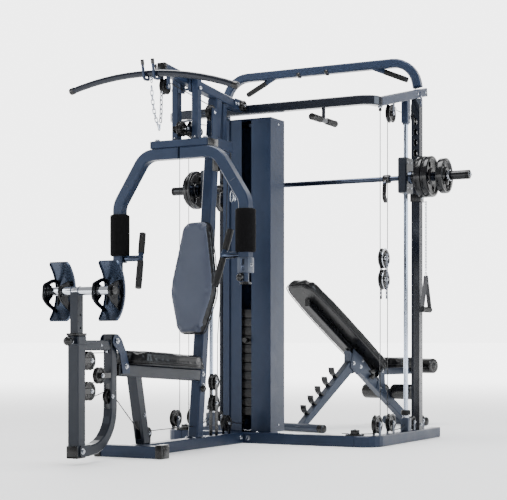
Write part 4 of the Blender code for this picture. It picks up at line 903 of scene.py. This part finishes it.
rod(kit("frame", "bolts"), (-0.024, -1.032, 0.13), (0.024, -1.032, 0.13), 0.0045)
wheel(kit("frame", "pulleys"), (0, -0.985, 0.111), 0.03, 0.018)
straps("frame", "black", (0, -0.985, 0.088), 0.0135, 0.066, 0.011, thick=0.0026)
through_bolt("frame", (0, -0.985, 0.111), 0.0148, 0.0062)
for side in (-1, 1):
    low, high = sorted((side * 0.16, side * 0.1965))
    block(kit("frame", "caps"), (low, -1.168, 0.0), (high, -1.092, 0.068), 0.004)
    tip = side * 0.1965
    block(kit("frame", "caps"), (tip - 0.002, -1.15, 0.012), (tip + 0.002, -1.11, 0.05), 0.001)
    for y in (-0.56, -0.455):
        bolt("frame", (side * 0.022, y, 0.06), Z, 0.0075)
for x in (-0.06, 0.06):
    bolt("frame", (x, -0.0302, 0.03), -Y, 0.01)
bolt("frame", (0.03, -0.058, 0.032), X, 0.009)
for x in (-0.1, 0.1):
    bolt("frame", (x, 0.0, 0.0601), Z, 0.0075)
for z in (0.098, 1.79):
    dome("frame", (0.1692, 0.126, z), X, 0.006)
    dome("frame", (-0.1342, 0.126, z), -X, 0.006)
for x in (STACK_X - 0.085, STACK_X + 0.085):
    lathe(kit("frame", "rubber"), [(0.013, 0.15), (0.03, 0.149), (0.031, 0.146), (0.031, 0.122),
                                   (0.025, 0.118), (0.025, 0.1), (0.013, 0.1)],
          Matrix.Translation((x, STACK_Y, 0)), 24)
for z in (0.348, 0.234):
    wheel(kit("frame", "pulleys"), (0, FRONT_WHEEL_Y, z), 0.045, 0.024)
    rod(kit("frame", "bolts"), (-0.019, FRONT_WHEEL_Y, z), (0.019, FRONT_WHEEL_Y, z), 0.0045)
    through_bolt("frame", (0, FRONT_WHEEL_Y, z), 0.019, 0.0072)
straps("frame", "black", (0, FRONT_WHEEL_Y, 0.305), 0.017, 0.15, 0.015)
straps("frame", "black", (0, FRONT_WHEEL_Y, 0.152), 0.0175, 0.196, 0.016)
forked_wheel((0, BACK_WHEEL_Y, 0.119), 0.045, 0.06, kind="black")
for dy in (-0.0405, 0.0405):
    y = FRONT_WHEEL_Y + dy
    top = (math.copysign(0.012, dy), y + 0.078, 1.2)
    route = [(0, y, 0.348), (0, y + 0.003, 0.6), top, (top[0], top[1] + 0.02, 1.596)]
    cable(kit("frame", "cables"), route, 0.0024)
cable(kit("frame", "cables"), arc((0, FRONT_WHEEL_Y, 0.348), 0.0405, 180, 360, 12), 0.0024)
route = [(0, -0.5345, 0.121), (0, -0.42, 0.133)] + arc((0, FRONT_WHEEL_Y, 0.234), 0.04, 215, 355, 10)
route += [(0, -0.27, 0.262), (0, -0.24, 0.2)] + arc((0, BACK_WHEEL_Y, 0.119), 0.04, 140, 20, 8)
route += [(0, -0.13, 0.128), (0, -0.06, 0.112), (0, 0.028, 0.108)]
cable(kit("frame", "cables"), route, 0.0024)

# ---------------------------------------------------------------- weight stack
for name, body, first, count in (("resting_plates", "frame", 0, 8), ("lifted_plates", "lifted_plates", 8, 4)):
    pile = bmesh.new()
    for k in range(first, first + count):
        z = 0.15 + 0.05 * k
        block(pile, (STACK_X - 0.1148, 0.0602, z + 0.0012), (STACK_X + 0.1148, 0.1598, z + 0.0488), 0.0042)
        lathe(pile, [(0.0085, 0.0004), (0.011, 0.001), (0.0125, 0.0002), (0.0125, -0.003)],
              aim((STACK_X, 0.0602, z + 0.025), -Y), 24)
        for side in (-1, 1):
            x = STACK_X + side * 0.062
            block(pile, (x - 0.03, 0.059, z + 0.012), (x + 0.03, 0.061, z + 0.038), 0.0008)
    if first:
        rod(pile, (STACK_X, STACK_Y, 0.205), (STACK_X, STACK_Y, 0.84), 0.0113, 20)
        lathe(pile, [(0, 0.742), (0.0218, 0.742), (0.022, 0.775), (0.018, 0.784), (0.0135, 0.8),
                     (0.0115, 0.802)], Matrix.Translation((STACK_X, STACK_Y, 0)), 28)
    make(f"{name}_pile", pile, STACK_IRON, body, 40, also=[name])

# ---------------------------------------------------------------- leg station
for name, x in (("left", -0.118), ("right", 0.158)):
    body = f"{name}_foot_plate"
    shell = bmesh.new()
    section = [(-0.0552, 0.0015), (-0.0552, -0.01), (-0.0525, -0.0108), (-0.0512, -0.003), (0.0512, -0.003),
               (0.0525, -0.0108), (0.0552, -0.01), (0.0552, 0.0015), (0.0535, 0.0022), (-0.0535, 0.0022)]
    spine = arc((x, -1.69, FOOT_Z), 0.185, -48, 48, 28)
    rings = []
    for k, point in enumerate(spine):
        angle = math.radians(-48 + 96 * k / 28)
        out = Vector((0, math.cos(angle), math.sin(angle)))
        end = min(k, 28 - k)
        slim = 1 - 0.1 * max(0, 2 - end) ** 2 / 4
        rings.append([shell.verts.new(Vector(point) + X * u * slim - out * v * -1) for u, v in section])
    for low, high in zip(rings, rings[1:]):
        for i in range(len(section)):
            j = (i + 1) % len(section)
            shell.faces.new((low[i], low[j], high[j], high[i]))
    shell.faces.new(rings[0][::-1])
    shell.faces.new(rings[-1])
    make(f"{name}_foot_shell", shell, GLOSS_NAVY, body, also=[body])
    loops = kit(body, "black")
    for offset in (-0.038, 0.038):
        gx = x + offset
        nose = [(-1.5095, 0.85), (-1.56, 0.858), (-1.632, 0.832), (-1.64, 0.768), (-1.606, 0.738),
                (-1.53, 0.702), (-1.5095, 0.708)]
        if offset > 0:
            nose = [(-1.5095, 0.848), (-1.548, 0.846), (-1.6, 0.826), (-1.618, 0.803), (-1.616, 0.778),
                    (-1.592, 0.748), (-1.53, 0.708), (-1.5095, 0.712)]
        outline = polygon_fillet(nose, 0.014, 4)
        if offset < 0:
            window = polygon_fillet([(-1.5205, 0.837), (-1.556, 0.844), (-1.588, 0.832), (-1.562, 0.822),
                                     (-1.552, 0.8), (-1.562, 0.778), (-1.594, 0.752), (-1.56, 0.732),
                                     (-1.528, 0.717), (-1.5205, 0.722)], 0.01, 3)
            holes = [window]
        else:
            holes = [[(-1.537 + y, z_mid + z) for y, z in oval(0.011, half_high)]
                     for z_mid, half_high in ((0.8195, 0.011), (0.768, 0.018))]
        cutout_plate(loops, outline, holes, 0.0058, Matrix.Translation((gx, 0, 0)) @ ACROSS_X)
        sweep(loops, [(gx, y, z) for y, z in outline], oval(0.0048, 0.0036, 8), closed=True, normal=X)
        hub = aim((gx - 0.008, FOOT_Y, FOOT_Z), X)
        lathe(loops, [(0.0203, 0), (0.027, 0), (0.0285, 0.0015), (0.0285, 0.0145), (0.027, 0.016),
                      (0.0203, 0.016)], hub, 28)
    for dy, dz in ((-1.5085, 0.842), (-1.5085, 0.758)):
        dome(body, (x, dy, dz), (0, -1, 0), 0.006)
post = bmesh.new()
wall = [(0.33, 0.42)] + [(0.42 + 0.06 * i, 0.48 + 0.06 * i, 0.0, 0.0055) for i in range(5)]
wall.append((0.72, 0.7945))
square_tube(post, 0, FOOT_Y, 0.0215, [(0.33, 0.7945)], wall)
for z in (0.33, 0.7945):
    post.faces.new([post.verts.new((x, FOOT_Y + y, z)) for x, y in
                    ((-0.0215, -0.0215), (0.0215, -0.0215), (0.0215, 0.0215), (-0.0215, 0.0215))])
bmesh.ops.remove_doubles(post, verts=post.verts, dist=0.0002)
# The foot post tube takes the darker blue copy: painted shade.
make("foot_post_tube", post, PAINTED_SHADE_BLUE, "foot_post", 30, also=["foot_post"])
bar = kit("foot_post", "chrome")
rod(bar, (-0.17, FOOT_Y, FOOT_Z), (0.21, FOOT_Y, FOOT_Z), 0.02, 32, 0.002)
for side in (-1, 1):
    turned("foot_post", "welds", [(0.0198, 0.0225), (0.0222, 0.0215), (0.0225, 0.019), (0.0198, 0.019)],
           (0, FOOT_Y, FOOT_Z), (side, 0, 0), 28)
for side, end in ((-1, -0.17), (1, 0.21)):
    turned("foot_post", "caps", [(0, 0.004), (0.018, 0.003), (0.0205, 0), (0.0205, -0.006),
                                 (0.0198, -0.007)], (end, FOOT_Y, FOOT_Z), (side, 0, 0), 28)
knob = bmesh.new()
lathe(knob, [(0, 0), (0.0055, 0), (0.0055, 0.018), (0.011, 0.019), (0.0115, 0.026), (0.0085, 0.03),
             (0.0105, 0.033), (0.0175, 0.04), (0.0215, 0.05), (0.0215, 0.055), (0.018, 0.063),
             (0.011, 0.068), (0, 0.0695)], aim((0, -1.6065, 0.57), (0, -1, 0)), 32)
make("foot_post_ball", knob, PLASTIC, "foot_post_knob", also=["foot_post_knob"])
turned("press_lever", "bolts", [(0.0058, 0), (0.014, 0), (0.014, 0.006), (0.0125, 0.008), (0.0066, 0.008)],
       (0, -1.6235, 0.57), (0, -1, 0), 6)
for low, high in (((-0.034, -1.624), (-0.022, -1.556)), ((0.022, -1.624), (0.034, -1.556)),
                  ((-0.022, -1.624), (0.022, -1.612)), ((-0.022, -1.568), (0.022, -1.556))):
    block(kit("press_lever", "caps"), (*low, 0.5945), (*high, 0.606), 0.002)
block(kit("press_lever", "caps"), (-0.0306, -1.629, 0.03), (0.0306, -1.6196, 0.088), 0.003)
block(kit("press_lever", "caps"), (-0.0306, -1.629, 0.03), (0.0306, -1.56, 0.0402), 0.003)
through_bolt("leg_frame", (0, FOOT_Y, 0.062), 0.0358, 0.0095)
through_bolt("leg_frame", (0, -1.33, 0.306), 0.0252, 0.0065)
for side in (-1, 1):
    dome("press_lever", (side * 0.0245, -1.42, 0.549), (side, 0, 0), 0.006)
block(kit("press_lever", "caps"), (-0.0215, -1.349, 0.5285), (0.0215, -1.3405, 0.571), 0.003)
block(kit("leg_frame", "caps"), (-0.0245, -1.3385, 0.5985), (0.0245, -1.2895, 0.604), 0.002)
for body, y, z, radius, strap_y, length in (("press_lever", LEVER_WHEEL_Y, 0.478, 0.045, -1.526, 0.09),
                                            ("press_lever", LEVER_WHEEL_Y, 0.336, 0.045, -1.526, 0.09),
                                            ("leg_frame", -1.407, 0.407, 0.04, -1.373, 0.092)):
    wheel(kit(body, "pulleys"), (0, y, z), radius, 0.022)
    straps(body, "black", (0, strap_y, z), 0.02, length, 0.013, LEVEL)
    through_bolt(body, (0, y, z), 0.0214, 0.0072)
wheel(kit("leg_frame", "pulleys"), (0, -1.33, 0.306), 0.036, 0.02)
rod(kit("press_lever", "bolts"), (0, -1.3415, 0.514), (0, -1.3415, 0.526), 0.006)


# ---------------------------------------------------------------- cage: posts, rods, pulleys and cables
def rail_under(y):
    return 1.862 - 0.025 + (y - 0.0853) * 0.231


def is_tube_corner(edge, x, half):
    """True for the four long edges of the post at x."""
    low, high = (v.co for v in edge.verts)
    upright = abs((low - high).normalized().z) > 0.9
    return upright and abs(abs(low.x - x) - half) < 1e-4 and abs(abs(low.y - POST_Y) - half) < 1e-4


BLOCK_Y, SECOND_Y, TOP_PULLEY_Z = 0.1625, 0.2585, 1.822
for name, x, inward in SIDES:
    post = bmesh.new()
    top = rail_under(POST_Y - 0.025) - 0.001
    slots, pins = [(0.061, 1.44)], [(0.061, 0.2)]
    for k in range(7):
        slots.append((1.44 + 0.06 * k, 1.5 + 0.06 * k, 0.01, 0.01))
    slots.append((1.86, top))
    for k in range(24):
        pins.append((0.2 + 0.05 * k, 0.25 + 0.05 * k, 0.0, 0.0042))
    pins.append((1.4, top))
    square_tube(post, x, POST_Y, 0.025, slots, pins)
    bmesh.ops.remove_doubles(post, verts=post.verts, dist=0.0002)
    edges = [e for e in post.edges if e.is_manifold and e.calc_face_angle(0) > 1.0
             and is_tube_corner(e, x, 0.025)]
    bmesh.ops.bevel(post, geom=edges, offset=0.0035, segments=2, affect="EDGES")
    make(f"{name}_slotted_post", post, DARK_BLUE_AND_PAINTED_SHADE, "frame", 30, also=[f"{name}_post"])
    collar = kit("frame", "caps")
    for low, high in ((-0.031, -0.0252), (0.0252, 0.031)):
        block(collar, (x + low, POST_Y - 0.031, 1.37), (x + high, POST_Y + 0.031, 1.416), 0.002)
        block(collar, (x - 0.031, POST_Y + low, 1.37), (x + 0.031, POST_Y + high, 1.416), 0.002)
    for z in (0.09, top - 0.02):
        through_bolt("frame", (x, POST_Y, z), 0.0252, 0.007)
    # gusset plates that tie the post to the top rail
    straps("frame", "brackets", (x, POST_Y, 1.962), 0.0262, 0.09, 0.016, thick=0.002)
    for side in (-1, 1):
        dome("frame", (x + side * 0.0272, POST_Y, 1.975), (side, 0, 0), 0.0065)
    # guide rod sockets with their set screws
    on_rod = Matrix.Translation((x, ROD_Y, 0))
    lathe(kit("frame", "bolts"), [(0.013, 0.135), (0.0185, 0.135), (0.019, 0.138), (0.019, 0.15),
                                  (0.013, 0.152)], on_rod, 24)
    # The socket blocks take the lighter blue copy: painted light.
    block(kit("frame", "pale"), (x - 0.024, ROD_Y - 0.026, 0.0605), (x + 0.024, ROD_Y + 0.026, 0.136),
          0.003)
    lathe(kit("frame", "rubber"), [(0.013, 0.152), (0.026, 0.153), (0.027, 0.158), (0.027, 0.176),
                                   (0.024, 0.18), (0.013, 0.181)], on_rod, 24)
    lathe(kit("frame", "pale"), [(0.013, 1.792), (0.018, 1.792), (0.0185, 1.7935), (0.0185, 1.803),
                                 (0.013, 1.804)], on_rod, 24)
    for z in (1.815, 1.85):
        bolt("frame", (x - inward * 0.019, ROD_Y, z), (-inward, 0, 0), 0.006)
    # pulleys
    spin = bmesh.new()
    wheel(spin, (x, FIRST_Y, LOW_WHEEL_Z), 0.05, 0.026)
    make(f"{name}_base_wheel", spin, PLASTIC, f"{name}_base_pulley",
         also=[f"{name}_base_pulley"])
    through_bolt("frame", (x, FIRST_Y, LOW_WHEEL_Z), 0.0215)
    forked_wheel((x, SECOND_Y, LOW_WHEEL_Z), 0.05, 0.062)
    for y in (0.578, 0.716):
        forked_wheel((x, y, 0.108), 0.033, 0.062, wide=0.0165)
    forked_wheel((x, SECOND_Y, TOP_PULLEY_Z), 0.05, rail_under(SECOND_Y) + 0.012)
    fork_x = x + inward * 0.018
    wheel(kit("frame", "pulleys"), (fork_x, 0.652, 1.858), 0.03, 0.018)
    straps("frame", "black", (fork_x, 0.652, 1.89), 0.0135, 0.095, 0.011, thick=0.0026)
    # floating double pulley with its perforated straps
    body = f"{name}_float_block"
    spin = bmesh.new()
    for z in (1.02, 0.905):
        wheel(spin, (x, BLOCK_Y, z), 0.056, 0.024, holes=6)
    make(f"{name}_float_wheels", spin, PLASTIC, body, also=[body])
    for z in (1.02, 0.905):
        for side in (-1, 1):
            turned(body, "chrome", [(0.05, 0.0118), (0.0505, 0.0132), (0.0535, 0.0136), (0.0556, 0.012),
                                    (0.0556, 0.0095)], (x, BLOCK_Y, z), (side, 0, 0), 40)
            turned(body, "chrome", [(0.006, 0.015), (0.015, 0.0146), (0.016, 0.0128), (0.016, 0.01)],
                   (x, BLOCK_Y, z), (side, 0, 0), 28)
        through_bolt(body, (x, BLOCK_Y, z), 0.0185, 0.0072)
        rod(kit(body, "bolts"), (x - 0.02, BLOCK_Y, z), (x + 0.02, BLOCK_Y, z), 0.0045)
    cells = [(0.799, 0.812)] + [(0.812 + 0.02 * i, 0.832 + 0.02 * i, 0.0, 0.0052) for i in range(11)]
    cells.append((1.032, 1.046))
    for side in (-1, 1):
        for face, half, wall in ((-1, 0.0185, 0.0022), (1, 0.0163, 0.001)):
            put = Matrix.Rotation(face * side * math.pi / 2, 4, "Z")
            put = Matrix.Translation((x + side * half, BLOCK_Y, 0)) @ put
            # The perforated straps take the lighter blue copy: painted light.
            holed_wall(kit(body, "pale"), put, 0.027, cells, wall)
    # swivel on the upper cable's end and the bolt under the rail
    first_y = FIRST_Y + 0.0445
    hang_z = rail_under(first_y)
    lathe(kit("frame", "caps"), [(0, 0.0), (0.008, 0.002), (0.0095, 0.01), (0.006, 0.018), (0, 0.019)],
          Matrix.Translation((x, first_y, hang_z - 0.03)), 20)
    block(kit("frame", "bolts"), (x - 0.0105, first_y - 0.011, hang_z - 0.012),
          (x + 0.0105, first_y + 0.011, hang_z + 0.0005), 0.002)
    bolt("frame", (x, first_y - 0.011, hang_z - 0.0065), -Y, 0.0055)
    # clamp that holds the lower cable on the front rail
    cx = CAGE_X - inward * 0.53
    block(kit("frame", "caps"), (cx - 0.046, -0.02, 0.0602), (cx + 0.046, 0.028, 0.068), 0.002)
    block(kit("frame", "caps"), (cx - 0.02, -0.012, 0.067), (cx + 0.02, 0.026, 0.092), 0.004)
    for dx in (-0.034, 0.034):
        bolt("frame", (cx + dx, 0.004, 0.068), Z, 0.0065)
    bolt("frame", (cx, 0.006, 0.092), Z, 0.0065)
    # rail ends and corner bolts
    end_cap("frame", (x, 0.955, 0.03), (0, 1, 0), 0.029, 0.029, 0.006)
    end_cap("frame", (x, 0.755, rail_under(0.755) + 0.0245), (0, 1, 0.2), 0.0245, 0.0245, 0.005)
    for y in (0.73, 0.61):
        dome("frame", (x - inward * 0.0252, y, rail_under(y) + 0.025), (-inward, 0, 0), 0.0065)
for x in (0.039, 0.223):
    rod(kit("frame", "caps"), (x, 0.665, 2.161), (x, 0.665, 2.152), 0.0105)
    dome_bolt(kit("frame", "caps"), (x, 0.6448, 2.17), (0, -1, 0), 0.0125)
for side, root, reach in ((-1, 0.29, 0.225), (1, 0.35, 0.19)):
    start = Vector((CAGE_X + side * root, 0.67, 2.173))
    end = start + Vector((side * reach, 0.07, -0.078))
    way = (end - start).normalized()
    turned("frame", "caps", [(0, 0.006), (0.01, 0.0055), (0.0152, 0.002), (0.016, 0), (0.016, -0.01),
                             (0.0151, -0.011)], end, way, 20)
    rod(kit("frame", "rubber"), start + way * 0.075, end - way * 0.012, 0.0164, 20)
for side in (-1, 1):
    y0, y1 = sorted((side * 0.034, side * 0.148))
    grip("frame", (0.509, y0, 1.771), (0.509, y1, 1.771), 0.0172, 0.001, 0.0, 24, 0.001)
    turned("frame", "caps", [(0, 0.004), (0.013, 0.003), (0.019, 0), (0.019, -0.006), (0.016, -0.007)],
           (0.509, side * 0.15, 1.771), (0, side, 0), 20)

# ---------------------------------------------------------------- Smith bar: discs, sleeves, hooks and clips
DISCS = {"left": (("large", 0.064, 0.034, 0.116), ("small", 0.0995, 0.02, 0.098)),
         "right": (("large", 0.107, 0.076, 0.116), ("small", 0.228, 0.038, 0.098))}
for name, x, inward in SIDES:
    out = -inward
    for label, offset, width, radius in DISCS[name]:
        body = f"{name}_{label}_plate"
        disc = bmesh.new()
        if label == "large":
            half = (width - 0.002) / 2
            disc_plate(disc, (x + out * offset, BAR_Y, BAR_Z), out, radius, half)
            disc_plate(disc, (x + out * (offset + half + 0.002), BAR_Y, BAR_Z), out, radius - 0.001, half)
        else:
            disc_plate(disc, (x + out * offset, BAR_Y, BAR_Z), out, radius, width)
        make(f"{name}_{label}_disc", disc, IRON, body, 32, also=[body])
    reach = 0.24 if name == "left" else 0.395
    tip = x + out * reach
    turned("smith_bar", "caps", [(0, 0.004), (0.02, 0.003), (0.025, 0), (0.0256, -0.004), (0.0256, -0.018),
                                 (0.0249, -0.02)], (tip, BAR_Y, BAR_Z), (out, 0, 0), 32)
    clip = offset + width + 0.0045
    turned("smith_bar", "black", [(0.0253, 0.001), (0.0256, 0.003), (0.0256, reach - clip - 0.004),
                                  (0.0253, reach - clip - 0.002)], (x + out * clip, BAR_Y, BAR_Z),
           (out, 0, 0), 32)
    bolt("smith_bar", (tip + out * 0.004, BAR_Y, BAR_Z), (out, 0, 0), 0.008)
    gap = DISCS[name][0][1] - 0.063
    if gap > 0.01:
        turned("smith_bar", "black", [(0.0253, 0.001), (0.036, 0.002), (0.0365, 0.005),
                                      (0.0365, gap - 0.006), (0.035, gap - 0.003), (0.0253, gap - 0.002)],
               (x + out * 0.063, BAR_Y, BAR_Z), (out, 0, 0), 32)
    # spring clip just outside the discs
    coil = []
    for k in range(50):
        a = 2 * math.pi * k / 16
        along = x + out * (clip + 0.0046 * k / 16)
        coil.append((along, BAR_Y + 0.0292 * math.cos(a), BAR_Z + 0.0292 * math.sin(a)))
    sweep(kit(body, "bolts"), coil, oval(0.0021, 0.0021, 8))
    near, far = sorted((x + out * clip, x + out * (clip + 0.015)))
    block(kit(body, "caps"), (near, BAR_Y - 0.052, BAR_Z - 0.056), (far, BAR_Y - 0.03, BAR_Z - 0.022),
          0.004)
    block(kit(body, "caps"), (near, BAR_Y - 0.002, BAR_Z - 0.07), (far, BAR_Y + 0.022, BAR_Z - 0.031),
          0.004)
    # slider: bearing ends and bolts
    for z in (1.3985, 1.5985):
        lathe(kit("smith_carriage", "caps"), [(0.0137, 0), (0.0178, 0), (0.0186, 0.001), (0.0186, 0.004),
                                              (0.0137, 0.005)], Matrix.Translation((x, ROD_Y, z)), 28)
    for side in (-1, 1):
        for dy, dz in ((0.0, 0.085), (0.0, -0.055), (0.05, 0.085), (0.05, -0.055)):
            face = 0.034 if side == out else 0.019
            dome("smith_carriage", (x + side * face, BAR_Y - 0.008 + dy, BAR_Z + dz), (side, 0, 0), 0.0055)
    hook_x = x + inward * 0.095
    jacket = [(BAR_Y - 0.012, BAR_Z - 0.01), (BAR_Y - 0.031, BAR_Z - 0.026), (BAR_Y - 0.037, BAR_Z - 0.065),
              (BAR_Y - 0.039, BAR_Z - 0.1), (BAR_Y - 0.03, BAR_Z - 0.116), (BAR_Y - 0.013, BAR_Z - 0.126)]
    sweep(kit("smith_bar", "caps"), smooth_path([(hook_x, y, z) for y, z in jacket], 5),
          polygon_fillet([(-0.0092, -0.0112), (0.0092, -0.0112), (0.0092, 0.0112), (-0.0092, 0.0112)],
                         0.003, 2), normal=X)
    turned("smith_bar", "caps", [(0.015, -0.019), (0.0238, -0.019), (0.0245, -0.017), (0.0245, 0.017),
                                 (0.0238, 0.019), (0.015, 0.019)], (hook_x, BAR_Y, BAR_Z), X, 28)

# ---------------------------------------------------------------- strap handle
HX = 0.85
chain(kit("strap_handle", "links"), [(HX, POST_Y, 1.371), (HX, POST_Y, 0.966)], 0.0165, 0.0019)
eye = [(HX, POST_Y + y, 0.953 + z) for y, z in oval(0.013, 0.013)]
sweep(kit("strap_handle", "chrome"), eye, oval(0.0026, 0.0026, 8), closed=True, normal=X)
rod(kit("strap_handle", "chrome"), (HX - 0.015, POST_Y, 0.9365), (HX + 0.015, POST_Y, 0.9365), 0.003)
strap = bmesh.new()
for side in (-1, 1):
    line = smooth_path([(HX, POST_Y + side * 0.004, 0.941), (HX, POST_Y + side * 0.012, 0.905),
                        (HX, POST_Y + side * 0.03, 0.85), (HX, POST_Y + side * 0.0475, 0.795),
                        (HX, POST_Y + side * 0.057, 0.765), (HX, POST_Y + side * 0.056, 0.748)], 5)
    sweep(strap, line, [(-0.0125, -0.0013), (0.0125, -0.0013), (0.013, 0), (0.0125, 0.0013),
                        (-0.0125, 0.0013), (-0.013, 0)], normal=X)
fold = smooth_path([(HX, POST_Y - 0.006, 0.93), (HX, POST_Y, 0.944), (HX, POST_Y + 0.006, 0.93)], 5)
sweep(strap, fold, [(-0.0125, -0.0014), (0.0125, -0.0014), (0.0125, 0.0014), (-0.0125, 0.0014)], normal=X)
block(strap, (HX - 0.0128, POST_Y - 0.0125, 0.898), (HX + 0.0128, POST_Y + 0.0125, 0.908), 0.002)
make("handle_webbing", strap, WEB, "strap_handle", 50, also=["strap_handle"])
grip("strap_handle", (HX, POST_Y - 0.062, 0.75), (HX, POST_Y + 0.062, 0.75), 0.0145, 0.0008, 0.0012, 30,
     0.001, 24)
for side in (-1, 1):
    turned("strap_handle", "caps", [(0, 0.001), (0.008, 0.0), (0.0125, 0.001), (0.0165, 0), (0.017, -0.004),
                                    (0.0165, -0.008), (0.014, -0.009)], (HX, POST_Y + side * 0.0625, 0.75),
           (0, side, 0))
block(kit("frame", "bolts"), (0.82, POST_Y - 0.009, 1.366), (0.856, POST_Y + 0.009, 1.37), 0.001)
bolt("frame", (0.8262, POST_Y, 1.393), X, 0.007)

# ---------------------------------------------------------------- bench fittings
TURN = BENCH.to_3x3()
for side in (-1, 1):
    for y, z, half in ((0.47, 0.425, 0.0331), (0.54, 0.402, 0.0331), (0.56, 0.44, 0.0331),
                       (0.755, 0.373, 0.0381), (0.745, 0.26, 0.0331)):
        bolt("bench", BENCH @ Vector((side * half, y, z)), TURN @ X * side, 0.0085)
    for y, z, half in ((0, 0.026, 0.2), (1.04, 0.03, 0.18)):
        r = 0.029 if y else 0.0262
        put = aim(BENCH @ Vector((side * half, y, z)), TURN @ X * side)
        lathe(kit("bench", "caps"), [(0, 0.003), (r * 0.8, 0.002), (r, -0.002), (r, -0.04),
                                     (r - 0.002, -0.042)], put, 32)
for i in range(5):
    share = 0.13 + 0.135 * i
    y, z = 0.488 * share - 0.02, 0.43 * share + 0.048
    pts = [(y + 0.034, z - 0.008), (y + 0.008, z + 0.012), (y - 0.01, z + 0.026), (y - 0.018, z + 0.042),
           (y - 0.021, z + 0.064)]
    sweep(kit("bench", "black"), smooth_path([BENCH @ Vector((0, u, v)) for u, v in pts], 4),
          polygon_fillet([(-0.0208, -0.0062), (0.0208, -0.0062), (0.0208, 0.0062), (-0.0208, 0.0062)],
                         0.002, 1), normal=TURN @ X)
for side in (-1, 1):
    shell = [(0.452, 0.402), (0.5, 0.362), (0.622, 0.384), (0.552, 0.452), (0.476, 0.505)]
    put = BENCH @ Matrix.Translation((side * 0.0338, 0, 0)) @ ACROSS_X
    # The bench gussets take the lighter blue copy: painted light.
    plate(kit("bench", "pale"), polygon_fillet(shell, 0.012, 3), 0.0014, put, 0.0004)
turned("bench", "caps", [(0, 0.024), (0.012, 0.023), (0.0185, 0.017), (0.0185, 0.008), (0.01, 0.002),
                         (0.009, -0.006), (0, -0.006)], BENCH @ Vector((0.034, 0.64, 0.335)), TURN @ X)
down_slope = TURN @ Vector((0, math.cos(BENCH_SLOPE), math.sin(BENCH_SLOPE)))
end_cap("bench", BENCH @ Vector((0, 1.045, 0.0385)), down_slope, 0.018, 0.024, 0.003)
end_cap("bench_seat", BENCH @ Vector((0, 1.11, 0.369)), TURN @ Y, 0.0235, 0.0245, 0.004)

build_kits()

# ---------------------------------------------------------------- floor, light and camera
def glow_far_away(tree, coordinate, operation, span, target, direction=None):
    """Feeds a strength with a smooth step over a distance or a direction; span is from, from, to, to."""
    place = tree.nodes.new("ShaderNodeTexCoord")
    measure = tree.nodes.new("ShaderNodeVectorMath")
    measure.operation = operation
    if direction is not None:
        measure.inputs[1].default_value = direction
    level = tree.nodes.new("ShaderNodeMapRange")
    level.interpolation_type = "SMOOTHSTEP"
    for socket, value in zip(("From Min", "From Max", "To Min", "To Max"), span):
        level.inputs[socket].default_value = value
    tree.links.new(place.outputs[coordinate], measure.inputs[0])
    tree.links.new(measure.outputs["Value"], level.inputs["Value"])
    tree.links.new(level.outputs["Result"], target)


floor_mesh = bpy.data.meshes.new("studio_floor")
bm = bmesh.new()
corners = [bm.verts.new((x, y, 0)) for x, y in ((-400, -400), (400, -400), (400, 400), (-400, 400))]
bm.faces.new(corners)
bm.to_mesh(floor_mesh)
bm.free()
floor = bpy.data.objects.new("studio_floor", floor_mesh)
bpy.context.scene.collection.objects.link(floor)
floor.matrix_world = Matrix.Translation((0, 0, -0.0005)) @ Matrix.Rotation(math.radians(28), 4, "Z")
paper = shade("studio_paper", (0.93, 0.93, 0.93), 0.75, 0.0, 0.01, 0.6, 0.05, (("noise", 35.0, 0.02, 0.001),))
glow_far_away(paper.node_tree, "Object", "LENGTH", (1.0, 14.0, 0.3, 4.0),
              paper.node_tree.nodes["Principled BSDF"].inputs["Emission Strength"])
paper.node_tree.nodes["Principled BSDF"].inputs["Emission Color"].default_value = (1, 1, 1, 1)
floor.data.materials.append(paper)

world = bpy.data.worlds.new("studio")
bpy.context.scene.world = world
world.use_nodes = True
background = world.node_tree.nodes["Background"]
background.inputs["Color"].default_value = (1.0, 1.0, 1.0, 1)
glow_far_away(world.node_tree, "Generated", "DOT_PRODUCT", (0.55, 0.93, 0.5, 4.5),
              background.inputs["Strength"], (-0.469, 0.883, 0.0))


def area(name, place, target, size, power, colour=(1, 1, 1)):
    light = bpy.data.lights.new(name, "AREA")
    light.shape = "RECTANGLE"
    light.size, light.size_y = size
    light.energy = power
    light.color = colour
    obj = bpy.data.objects.new(name, light)
    bpy.context.scene.collection.objects.link(obj)
    obj.location = place
    obj.rotation_euler = (Vector(target) - Vector(place)).to_track_quat("-Z", "Y").to_euler()
    return obj


area("key_right", (5.8, 1.3, 2.6), (0.2, 0.1, 1.0), (2.6, 3.0), 170, (0.8, 0.9, 1.0))
area("fill_left", (-4.2, -4.5, 2.6), (0, -0.4, 0.9), (1.4, 2.6), 60, (0.88, 0.94, 1.0))
area("top_soft", (0.2, -0.6, 5.2), (0.1, 0, 0.8), (3.0, 3.0), 300)

cam_data = bpy.data.cameras.new("camera")
cam_data.lens, cam_data.sensor_width = 98.9, 36
cam_data.shift_x, cam_data.shift_y = 0.0, 91 / 507
cam = bpy.data.objects.new("camera", cam_data)
bpy.context.scene.collection.objects.link(cam)
cam.location = (3.73, -6.87, 0.57)
cam.rotation_euler = (math.radians(90), 0, math.radians(28))
bpy.context.scene.camera = cam
